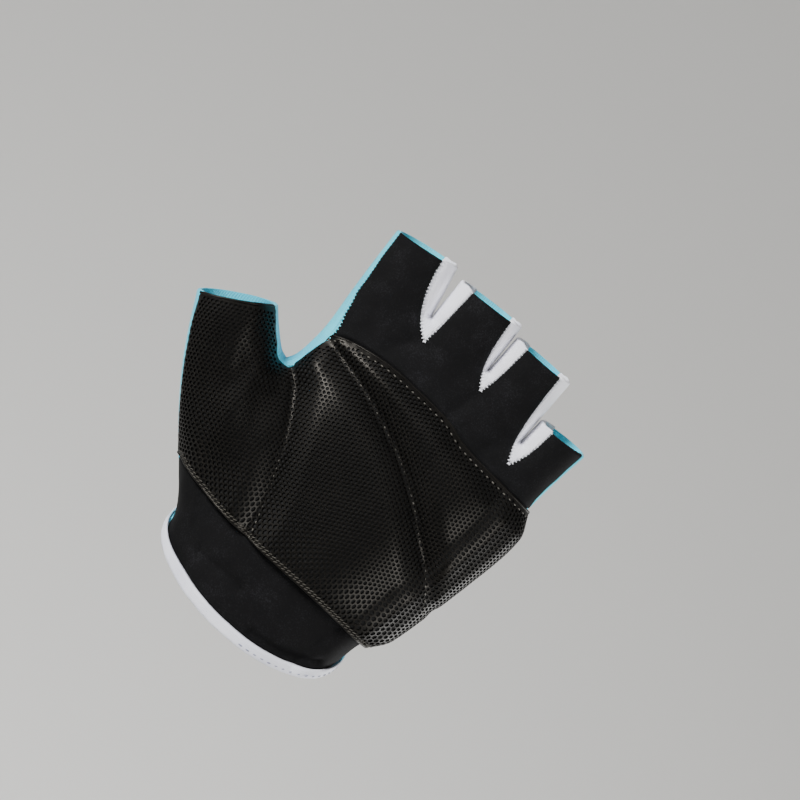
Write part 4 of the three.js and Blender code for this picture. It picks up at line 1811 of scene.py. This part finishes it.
@dataclass(frozen=True)
class Perforations:
    """The punched holes of the palm: a honeycomb over the panel, each cell with one hole."""

    pitch: float = 1.38
    hole_margin: float = 0.75
    crease: float = 42.0
    hole_share: float = 0.73
    depth: float = 0.5
    border: float = 0.6

    def lattice(self, cloth: Cloth, flat: Array) -> Cloth:
        """Lay a lattice of even triangles over a surface.

        Args:
            cloth: The surface, with a value named inside at its points.
            flat: The surface laid out flat.

        Returns:
            The lattice on the surface, cut along the border.
        """
        tree = BVHTree.FromPolygons(
            np.column_stack([flat, np.zeros(len(flat))]).tolist(), cloth.triangles.tolist()
        )
        low, high = flat.min(0), flat.max(0)
        across = math.ceil((high[0] - low[0]) / (self.pitch * math.sqrt(3) / 2))
        up = math.ceil((high[1] - low[1]) / self.pitch)
        ids = np.full((across + 1, up + 1), -1)
        places, faces = [], []
        for j in range(across + 1):
            for i in range(up + 1):
                place = (
                    low[0] + j * self.pitch * math.sqrt(3) / 2,
                    low[1] + (i + 0.5 * (j % 2)) * self.pitch,
                )
                _, _, index, distance = tree.find_nearest(Vector((*place, 0)), 0.01)
                if index is not None and distance < 1e-3:
                    ids[j, i] = len(places)
                    places.append(place)
                    faces.append(index)
        corners = cloth.triangles[faces]
        a, b, c = (flat[corners[:, i]] for i in range(3))
        p = np.array(places)
        area = np.cross(b - a, c - a)
        wb, wc = np.cross(p - a, c - a) / area, np.cross(b - a, p - a) / area
        weight = np.stack([1 - wb - wc, wb, wc], axis=1)

        def at(values: Array) -> Array:
            """Give a trait at the lattice's places."""
            held = values[corners]
            return (held * weight.reshape(len(weight), 3, *[1] * (held.ndim - 2))).sum(1)

        triangles = []
        for j in range(across):
            here, there = ids[j], ids[j + 1]
            if j % 2 == 0:
                triangles += [(here[:-1], there[:-1], here[1:]), (there[:-1], there[1:], here[1:])]
            else:
                triangles += [(here[:-1], there[1:], here[1:]), (there[:-1], there[1:], here[:-1])]
        whole = np.vstack([np.column_stack(rows) for rows in triangles])
        whole = whole[(whole >= 0).all(1)]
        traits = {name: at(values) for name, values in cloth.traits.items()}
        net = Cloth(at(cloth.points), whole, traits).kept(whole)
        return net.cut(net.traits["inside"] - self.border)

    def punch(
        self, shop: Workshop, name: str, cloth: Cloth, flat: Array, finish: Finish
    ) -> bpy.types.Object:
        """Make the perforated skin.

        Args:
            shop: Where the lattice becomes an object.
            name: The piece's name.
            cloth: The surface that the skin covers.
            flat: The surface laid out flat.
            finish: What the skin is made of.

        Returns:
            The skin as one plain mesh.
        """
        net = self.lattice(cloth, flat)
        piece = shop.piece(name, net, finish, Facing.PALM)
        whole = (net.traits["inside"] > self.border + self.pitch * self.hole_margin).astype(np.float32)
        mark = piece.data.attributes.new("punched", "FLOAT", "POINT")
        mark.data.foreach_set("value", whole)
        work = GeometryTree("honeycomb_of_holes")
        share = work.size("Hole Share", self.hole_share)
        depth = work.size("Depth", -self.depth * MM)
        leather = work.finish("Leather", finish)
        painted_shade = work.finish("Hole", HOLE_PAINTED_SHADE)
        cells = work.add("GeometryNodeDualMesh", {"Keep Boundaries": True}, {0: work.start.outputs[0]})
        punched = work.add("GeometryNodeInputNamedAttribute", {"data_type": "FLOAT", "Name": "punched"})
        chosen = work.add(
            "FunctionNodeCompare",
            {"data_type": "FLOAT", "operation": "GREATER_THAN", 1: 0.5},
            {0: punched.outputs[0]},
        )
        inset = work.add(
            "GeometryNodeExtrudeMesh",
            {"mode": "FACES", "Individual": True, "Offset Scale": 0.0},
            {"Mesh": cells.outputs[0], "Selection": chosen.outputs[0]},
        )
        shrunk = work.add(
            "GeometryNodeScaleElements",
            {},
            {"Geometry": inset.outputs[0], "Selection": inset.outputs[1], "Scale": share},
        )
        sunk = work.add(
            "GeometryNodeExtrudeMesh",
            {"mode": "FACES", "Individual": True},
            {"Mesh": shrunk.outputs[0], "Selection": inset.outputs[1], "Offset Scale": depth},
        )
        real = work.add("GeometryNodeRealizeInstances", {}, {"Geometry": sunk.outputs[0]})
        covered = work.add(
            "GeometryNodeSetMaterial", {}, {"Geometry": real.outputs[0], "Material": leather}
        )
        # The sunk floors of the holes take the painted shade
        dark = work.add(
            "GeometryNodeSetMaterial",
            {},
            {"Geometry": covered.outputs[0], "Selection": sunk.outputs[1], "Material": painted_shade},
        )
        work.add("NodeGroupOutput", {}, {0: dark.outputs[0]})
        work.apply(piece)
        shop.sharpened(piece, self.crease)
        return piece


def pillow(away: Array, radius: float) -> Array:
    """Give how far cloth is sunk near its border, so that its edge is round."""
    near = np.clip(1 - away / radius, 0, 1)
    return radius * (1 - np.sqrt(1 - near**2))


def ruffle(points: Array, size: float, seed: int) -> Array:
    """Give smooth unevenness between -1 and 1 at points.

    Args:
        points: Places in millimetres.
        size: The distance from one rise to the next.
        seed: Chooses the pattern.

    Returns:
        A value for each point.
    """
    random = np.random.default_rng(seed)
    total = np.zeros(len(points))
    waves = 6
    for _ in range(waves):
        way = rows_of(random.normal(size=(1, 3)))[0]
        length = size * random.uniform(0.7, 1.5)
        total += np.sin(points @ way * 2 * math.pi / length + random.uniform(0, 6.3))
    return total / waves


@dataclass
class Glove:
    """The whole glove: the surfaces that its pieces share and the seams between them."""

    plan: Plan = field(default_factory=Plan)
    wall: float = 1.2
    tuck: float = 1.0
    seam_round: float = 0.7
    under_tape: float = 0.6
    gusset_past: float = 1.6
    palm: PalmPanel = field(init=False)
    comb: Comb = field(init=False)
    shop: Workshop = field(init=False)
    seam: SideSeam = field(init=False)
    flat: Cloth = field(init=False)
    padded: Cloth = field(init=False)
    long: Cloth = field(init=False)

    def __post_init__(self) -> None:
        """Draw the bare surface, the one over the pads and the one that runs on past the openings."""
        filling = Filling(self.plan)
        self.palm = PalmPanel(filling)
        self.comb = Comb(filling)
        self.shop = Workshop(filling)
        self.seam = SideSeam(filling)
        hem = CUFF_SIDE + self.comb.binding_width
        self.flat = self.comb.surface(bare, hem - self.under_tape)
        self.padded = self.comb.surface(self.palm.lift, hem - self.under_tape)
        self.long = self.comb.surface(bare, hem, self.gusset_past)

    def out_of_gussets(self, cloth: Cloth) -> Array:
        """Measure how far the points of a surface are outside the gussets."""
        return -np.max([cut.inside(self.plan, cloth.plan()) for cut in GUSSETS], axis=0)


@dataclass(frozen=True)
class PalmPad:
    """The padded palm panel: its body, its punched skin, its rolled edge and its quilting."""

    glove: Glove
    perforations: Perforations = Perforations()
    edge: RolledEdge = RolledEdge(LEATHER, 0.42)
    stitches: Stitching = Stitching(DARK_THREAD, 2.4, 0.95, 0.5, 0.42)
    edge_stitches: Stitching = Stitching(EDGE_THREAD, 1.5, 1.5, 0.3, 0.3, 24.0)
    stitch_inset: float = 1.9
    edge_insets: tuple[float, float] = (0.9, 1.7)
    skin_margin: float = 2.5
    skin_round: float = 0.5
    core_gap: float = 0.12
    core_round: float = 0.8
    padding: float = 0.6
    bead_inset: float = 0.5
    bead_sunk: float = 0.25
    bead_uneven: float = 0.14
    bead_patch: float = 3.0
    bead_from: float = 0.9
    row_step: float = 0.8

    def surface(self) -> Cloth:
        """Give the padded surface with how far each point is inside the panel's border.

        Returns:
            The surface.
        """
        cloth = self.glove.padded
        ahead = self.glove.seam.in_front(cloth)
        inside = np.min([self.glove.palm.inside(cloth.plan()), ahead, cloth.traits["to_opening"]], axis=0)
        return cloth.with_trait("inside", inside).with_trait("ahead", ahead)

    def build(self) -> list[bpy.types.Object]:
        """Build the panel and its stitches.

        Returns:
            The panel and the stitches.
        """
        shop, whole = self.glove.shop, self.surface()
        near = whole.cut(whole.traits["inside"] + self.skin_margin)
        near = near.moved(-pillow(np.maximum(near.traits["inside"], 0), self.skin_round))
        flat = shop.layout(near, Facing.PALM)
        skin = self.perforations.punch(shop, "skin", near, flat, LEATHER)
        body = whole.cut(whole.traits["inside"])
        sunk = self.perforations.depth + self.core_gap + pillow(body.traits["inside"], self.core_round)
        closed = body.thick(self.glove.wall + self.padding, sunk)
        core = shop.piece("core", closed, LEATHER, Facing.PALM)
        inner = whole.cut(whole.traits["inside"] - self.bead_inset)
        uneven = self.bead_uneven * ruffle(inner.points, self.bead_patch, seed=5)
        inner = inner.moved(uneven - self.bead_sunk)
        seen = inner.traits["ahead"] > self.bead_from
        kept = [part for run in inner.borders() for part in stretches(run, seen)]
        runs = [(inner.points[part], inner.traits["normal"][part]) for part in kept]
        bead = self.edge.roll(shop, "bead", runs, False)
        panel = shop.merged("padded_palm", [skin, core, bead])
        return [panel, self.sew(whole)]

    def sew(self, whole: Cloth) -> bpy.types.Object:
        """Sew the quilting and the rows inside the upper and the lower edge.

        Args:
            whole: The padded surface.

        Returns:
            The stitches as one plain mesh.
        """
        drop = OnCloth(whole.cut(whole.traits["inside"] - self.bead_inset))
        palm = self.glove.palm
        shop = self.glove.shop
        lines = [*palm.quilting(), beside(palm.upper_edge(), self.stitch_inset)]
        runs = [run for line in lines for run in drop.drop(evenly(line, self.row_step))]
        quilted = self.stitches.sew(shop, "rows", runs, False)
        lines = [beside(palm.lower_edge(), -inset) for inset in self.edge_insets]
        runs = [run for line in lines for run in drop.drop(evenly(line, self.row_step))]
        edged = self.edge_stitches.sew(shop, "edge_rows", runs, False)
        return shop.merged("palm_stitches", [quilted, edged])


@dataclass(frozen=True)
class Panels:
    """The cloth round the padded palm: black suede, aqua back and white gussets."""

    glove: Glove
    bite: float = 0.35
    margin: float = 3.0
    fold_uneven: float = 0.12
    fold_patch: float = 7.0
    gusset_past: float = 0.45
    gusset_uneven: float = 0.35
    gusset_patch: float = 5.0
    gusset_round: float = 0.5
    seam_lift: float = 0.06
    seam_until: float = -30.0
    gusset_stitches: Stitching = Stitching(WHITE_THREAD, 1.1, 1.3, 0.4, 0.3, 90.0)
    seam_stitches: Stitching = Stitching(AQUA_THREAD, 1.15, 1.3, 0.5, 0.34, 90.0)

    def _under(self, cloth: Cloth, fields: Sequence[Array], over: Sequence[Array]) -> Cloth:
        """Cut a panel and round its borders.

        Args:
            cloth: The surface.
            fields: How far points are inside each border that meets a neighbour.
            over: The same for borders that run under a neighbour, by which they are lengthened.

        Returns:
            The closed panel.
        """
        tucked = [values + self.glove.tuck for values in over]
        whole = cloth.with_trait("inside", np.min([*fields, *over, cloth.traits["to_opening"]], axis=0))
        whole = whole.with_trait("cut", np.min([*fields, *tucked], axis=0))
        part = whole.cut(whole.traits["cut"])
        return part.thick(self.glove.wall, pillow(part.traits["inside"], self.glove.seam_round))

    def folded(self, cloth: Cloth) -> Cloth:
        """Give the palm side its folds, on a surface fine enough to hold them.

        Args:
            cloth: The surface.

        Returns:
            The folded surface.
        """
        fine = cloth.finer()
        depth = sum(row.at(fine.traits["q"]) for row in FOLDS)
        return fine.moved(-depth + self.fold_uneven * ruffle(fine.points, self.fold_patch, seed=9))

    def suede(self) -> list[bpy.types.Object]:
        """Build the black finger panel and heel panel.

        Returns:
            The finger panel and the heel panel.
        """
        glove, cloth = self.glove, self.glove.flat
        cloth = cloth.cut(glove.seam.in_front(cloth) + self.margin)
        cloth = self.folded(cloth.cut(self.margin - glove.palm.inside(cloth.plan())))
        front = glove.seam.in_front(cloth)
        outside = -glove.palm.inside(cloth.plan())
        gussets = glove.out_of_gussets(cloth)
        level = cloth.plan()[:, 1] - glove.plan.web_height
        built = []
        for name, side in (("finger_suede", level), ("heel_suede", -level)):
            panel = self._under(cloth, [front, gussets, side], [outside])
            built.append(glove.shop.piece(name, panel, SUEDE, Facing.PALM))
        return built

    def back(self) -> bpy.types.Object:
        """Build the aqua back panel.

        Returns:
            The panel.
        """
        glove, cloth = self.glove, self.glove.flat
        behind = -glove.seam.in_front(cloth)
        panel = self._under(cloth, [behind, glove.out_of_gussets(cloth)], [])
        return glove.shop.piece("aqua_back", panel, LYCRA, Facing.BACK)

    def gussets(self) -> list[bpy.types.Object]:
        """Build the three white gussets, a little longer than the sleeves.

        Returns:
            The gussets from the index finger on.
        """
        glove, cloth = self.glove, self.glove.long
        uneven = self.gusset_past + self.gusset_uneven * ruffle(cloth.points, self.gusset_patch, seed=3)
        built = []
        for cut in GUSSETS:
            inside = cut.inside(glove.plan, cloth.plan())
            end = cloth.traits["to_opening"] + uneven
            whole = cloth.with_trait("inside", np.minimum(inside, end))
            part = whole.cut(whole.traits["inside"])
            closed = part.thick(glove.wall, pillow(part.traits["inside"], self.gusset_round))
            built.append(glove.shop.piece("white_" + cut.name, closed, WHITE_KNIT, Facing.PALM))
        return built

    def trims(self) -> list[bpy.types.Object]:
        """Sew the fine stitches along the gussets and the web of the thumb.

        Returns:
            The white stitches and the aqua ones.
        """
        glove = self.glove
        drop = OnCloth(glove.flat)
        runs = []
        for cut in GUSSETS:
            outline = cut.outline(glove.plan)
            for side in np.split(outline, 2):
                side = side[side[:, 1] < FAR / 2]
                for from_palm in (True, False):
                    runs += drop.drop(evenly(side, 0.5), from_palm)
        white = self.gusset_stitches.sew(glove.shop, "gusset_stitches", runs, False)
        ahead = glove.seam.in_front(glove.flat)
        front = glove.flat.with_trait("ahead", ahead).cut(ahead - self.bite).moved(self.seam_lift)
        at_seam = np.abs(front.traits["ahead"] - self.bite) < 0.02
        at_seam &= (front.traits["sleeve"] > 0.5) & (front.points[:, 0] < self.seam_until)
        at_seam &= front.points[:, 2] > glove.plan.web_height
        kept = [part for run in front.borders() for part in stretches(run, at_seam)]
        teeth = [(front.points[part], front.traits["normal"][part]) for part in kept]
        aqua = self.seam_stitches.sew(glove.shop, "seam_stitches", teeth, False)
        return [white, aqua]


@dataclass(frozen=True)
class Cuff:
    """The white tape that binds the cuff, with its row of stitches."""

    glove: Glove
    width: float = 4.2
    proud: float = 1.1
    inside: float = 1.7
    tape: float = 0.5
    parts: int = 26
    corners: int = 15
    corner_step: float = 0.7
    uneven: float = 0.16
    patch: float = 5.5
    row_share: float = 0.42
    row_lift: float = 0.05
    row_from: float = 8.0
    stitches: Stitching = Stitching(GREY_THREAD, 2.6, 1.6, 0.42, 0.26)

    def profile(self) -> Array:
        """Give the section of the tape, folded round the hem: rows up the cuff and lifts off the form.

        Returns:
            A row and a lift for each corner of the section.
        """
        along = np.linspace(1, -1, self.corners)
        half, middle = (self.proud + self.inside) / 2, (self.proud - self.inside) / 2
        rise = self.width * np.abs(along) ** 2
        turn = np.sign(along) * (1 - (1 - np.abs(along)) ** 3)
        outer = np.column_stack([CUFF_SIDE + rise, middle + half * turn])
        lined = CUFF_SIDE + rise + self.tape * (1 - np.abs(along))
        inner = np.column_stack([lined, middle + (half - self.tape) * turn])
        return np.vstack([outer, inner[::-1]])

    def build(self) -> list[bpy.types.Object]:
        """Build the tape and its stitches.

        Returns:
            The tape and the stitches.
        """
        comb, shop = self.glove.comb, self.glove.shop
        loops = [comb.ring(v, lift, self.parts) for v, lift in self.profile()]
        count = len(loops[0])
        grid = np.arange(len(loops) * count).reshape(len(loops), count)
        a, b = grid, np.roll(grid, -1, axis=1)
        c, d = np.roll(b, -1, axis=0), np.roll(a, -1, axis=0)
        quads = np.stack([a, b, c, d], axis=-1).reshape(-1, 4)
        points = np.vstack(loops)
        steps = np.linalg.norm(loops[0] - np.roll(loops[0], 1, axis=0), axis=1)
        along = np.tile(np.cumsum(steps), len(loops))
        round_ = np.repeat(np.arange(len(loops)) * self.corner_step, count)
        traits = {
            "q": np.column_stack([along, round_]),
            "way": np.zeros((len(points), 2)),
            "round": np.zeros(len(points)),
            "arc": np.zeros(len(points)),
        }
        tape = Cloth(points, np.vstack([quads[:, [0, 1, 2]], quads[:, [0, 2, 3]]]), traits)
        first, second, third = (tape.points[tape.triangles[:, i]] for i in range(3))
        if np.einsum("ij,ij->", first, np.cross(second, third)) < 0:
            tape = Cloth(tape.points, tape.triangles[:, ::-1], traits)
        tape = tape.with_trait("normal", tape.normals())
        tape = tape.moved(self.uneven * ruffle(tape.points, self.patch, seed=11))
        row = comb.ring(CUFF_SIDE + self.width * self.row_share, self.proud + self.row_lift, self.parts)
        out = rows_of(row - row.mean(0) * [1, 1, 0] - row * [0, 0, 1])
        shown = stretches(np.arange(len(row)), (row[:, 0] > self.row_from) | (row[:, 1] > 0))
        runs = [(row[part], out[part]) for part in shown]
        sewn = self.stitches.sew(shop, "cuff_stitches", runs, False)
        return [shop.piece("cuff_tape", tape, TAPE, Facing.PALM), sewn]


@dataclass(frozen=True)
class SoftLight:
    """A square soft light: its place and side in metres, its power in watts and what it faces."""

    name: str
    place: tuple[float, float, float]
    side: float
    power: float
    aim: tuple[float, float, float] = TARGET

    def hang(self) -> None:
        """Put the light in its place."""
        data = bpy.data.lights.new(self.name, "AREA")
        data.size, data.energy = self.side, self.power
        lamp = bpy.data.objects.new(self.name, data)
        lamp.location = Vector(self.place)
        way = Vector(self.aim) - lamp.location
        lamp.rotation_euler = way.to_track_quat("-Z", "Y").to_euler()
        bpy.context.scene.collection.objects.link(lamp)


LIGHTS = (
    SoftLight("key", (-0.86, -0.78, 0.42), 0.32, 24.0),
    SoftLight("rim", (0.82, 0.42, -0.14), 0.5, 6.0),
    SoftLight("side", (0.85, -0.6, -0.05), 0.28, 7.0),
    SoftLight("fill", (0.1, -1.2, 1.0), 0.9, 3.0),
    SoftLight("wall_light", (0.0, 1.0, 0.2), 1.4, 24.0, (0.0, 3.1, 0.3)),
)


@dataclass(frozen=True)
class Studio:
    """The pale room, its soft lights and the camera."""

    floor: float = -0.9
    floor_radius: float = 0.6
    bend: float = 2.5
    bend_steps: int = 14
    height: float = 3.4
    sides: int = 64
    air: str = "f2f3f6"
    air_strength: float = 0.3
    roll: float = 43.0
    lens: float = 100.0
    sensor: float = 36.0
    view_width: float = 0.2424

    def room(self) -> bpy.types.Object:
        """Build a floor that bends up into a wall all round.

        Returns:
            The room as one object.
        """
        turn = np.linspace(0, math.pi / 2, self.bend_steps)
        radii = np.concatenate([[0.02, 0.4], self.floor_radius + self.bend * np.sin(turn)])
        heights = np.concatenate([[0, 0], self.bend * (1 - np.cos(turn))])
        radii, heights = np.append(radii, radii[-1]), np.append(heights, self.height)
        count = self.sides
        ways = [(math.cos(t), math.sin(t)) for t in np.linspace(0, 2 * math.pi, count, endpoint=False)]
        points = [(r * c, r * s, self.floor + h) for r, h in zip(radii, heights) for c, s in ways]
        steps = [(i * count, j, (j + 1) % count) for i in range(len(radii) - 1) for j in range(count)]
        faces = [(low + j, low + k, low + count + k, low + count + j) for low, j, k in steps]
        faces.append(tuple(reversed(range(count))))
        mesh = bpy.data.meshes.new("studio_floor")
        mesh.from_pydata(points, [], faces)
        mesh.shade_smooth()
        mesh.materials.append(BACKDROP.material())
        room = bpy.data.objects.new("studio_floor", mesh)
        bpy.context.scene.collection.objects.link(room)
        return room

    def camera(self) -> None:
        """Set the camera at the photograph's angle: it faces the palm and is rolled."""
        data = bpy.data.cameras.new("camera")
        data.lens, data.sensor_width = self.lens, self.sensor
        data.clip_start, data.clip_end = 0.05, 20
        distance = self.view_width * self.lens / self.sensor
        c, s = math.cos(math.radians(self.roll)), math.sin(math.radians(self.roll))
        turn = Matrix(((c, -s, 0), (0, 0, -1), (s, c, 0)))
        eye = bpy.data.objects.new("camera", data)
        place = Vector(TARGET) - Vector((0, distance, 0))
        eye.matrix_world = Matrix.Translation(place) @ turn.to_4x4()
        bpy.context.scene.collection.objects.link(eye)
        bpy.context.scene.camera = eye

    def build(self) -> None:
        """Set up the room, the lights, the world and the camera."""
        self.room()
        for lamp in LIGHTS:
            lamp.hang()
        world = bpy.data.worlds.new("studio")
        world.use_nodes = True
        air = world.node_tree.nodes["Background"]
        air.inputs["Color"].default_value = linear(self.air)
        air.inputs["Strength"].default_value = self.air_strength
        bpy.context.scene.world = world
        self.camera()


@dataclass(frozen=True)
class FlatCut:
    """The flat cloth that a panel was cut from: the box round it and its own area, in millimetres."""

    width: float
    length: float
    area: float

    def declare(self, piece: bpy.types.Object, rests_on: str) -> None:
        """Take a panel and the neighbour it is sewn to, and do nothing with them."""


CUTS = {
    "finger_suede": FlatCut(90, 42, 2600),
    "heel_suede": FlatCut(86, 31, 1950),
    "aqua_back": FlatCut(150, 126, 11800),
    "white_fourchette_index_middle": FlatCut(30, 34, 760),
    "white_fourchette_middle_ring": FlatCut(26, 31, 600),
    "white_fourchette_ring_little": FlatCut(26, 34, 660),
    "cuff_tape": FlatCut(10.5, 194, 2037),
}


def report(piece: bpy.types.Object) -> None:
    """Tell how large a piece is and how much surface it has.

    Args:
        piece: The finished object.
    """
    piece.data.calc_loop_triangles()
    size = [round(side / MM, 1) for side in piece.dimensions]
    area = sum(triangle.area for triangle in piece.data.loop_triangles) / MM**2
    log.info("%s: %d triangles, %s mm, %.0f mm2", piece.name, len(piece.data.loop_triangles), size, area)


def main() -> None:
    """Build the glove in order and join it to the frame."""
    logging.basicConfig(level=logging.INFO, format="%(message)s")
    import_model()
    Studio().build()
    glove = Glove()
    panels = Panels(glove)
    palm, palm_stitches = PalmPad(glove).build()
    finger, heel = panels.suede()
    back = panels.back()
    gussets = panels.gussets()
    trims = panels.trims()
    tape, tape_stitches = Cuff(glove).build()
    slots = [
        (palm, "perforated_palm", "palm_pad_panel"),
        (finger, "black_suede", "finger_panel"),
        (heel, "black_suede", "heel_panel"),
        (back, "aqua_lycra", "back_panel"),
        (tape, "white_tape", "cuff_binding"),
        *[(piece, "white_gusset", cut.name) for piece, cut in zip(gussets, GUSSETS)],
    ]
    for piece, slot, node in slots:
        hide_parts(node)
    for piece in (finger, heel, back, *gussets, tape):
        CUTS[piece.name].declare(piece, palm.name)
    for piece in [row[0] for row in slots] + [palm_stitches, tape_stitches, *trims]:
        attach(piece, "root")
        report(piece)


if __name__ == "__main__":
    main()
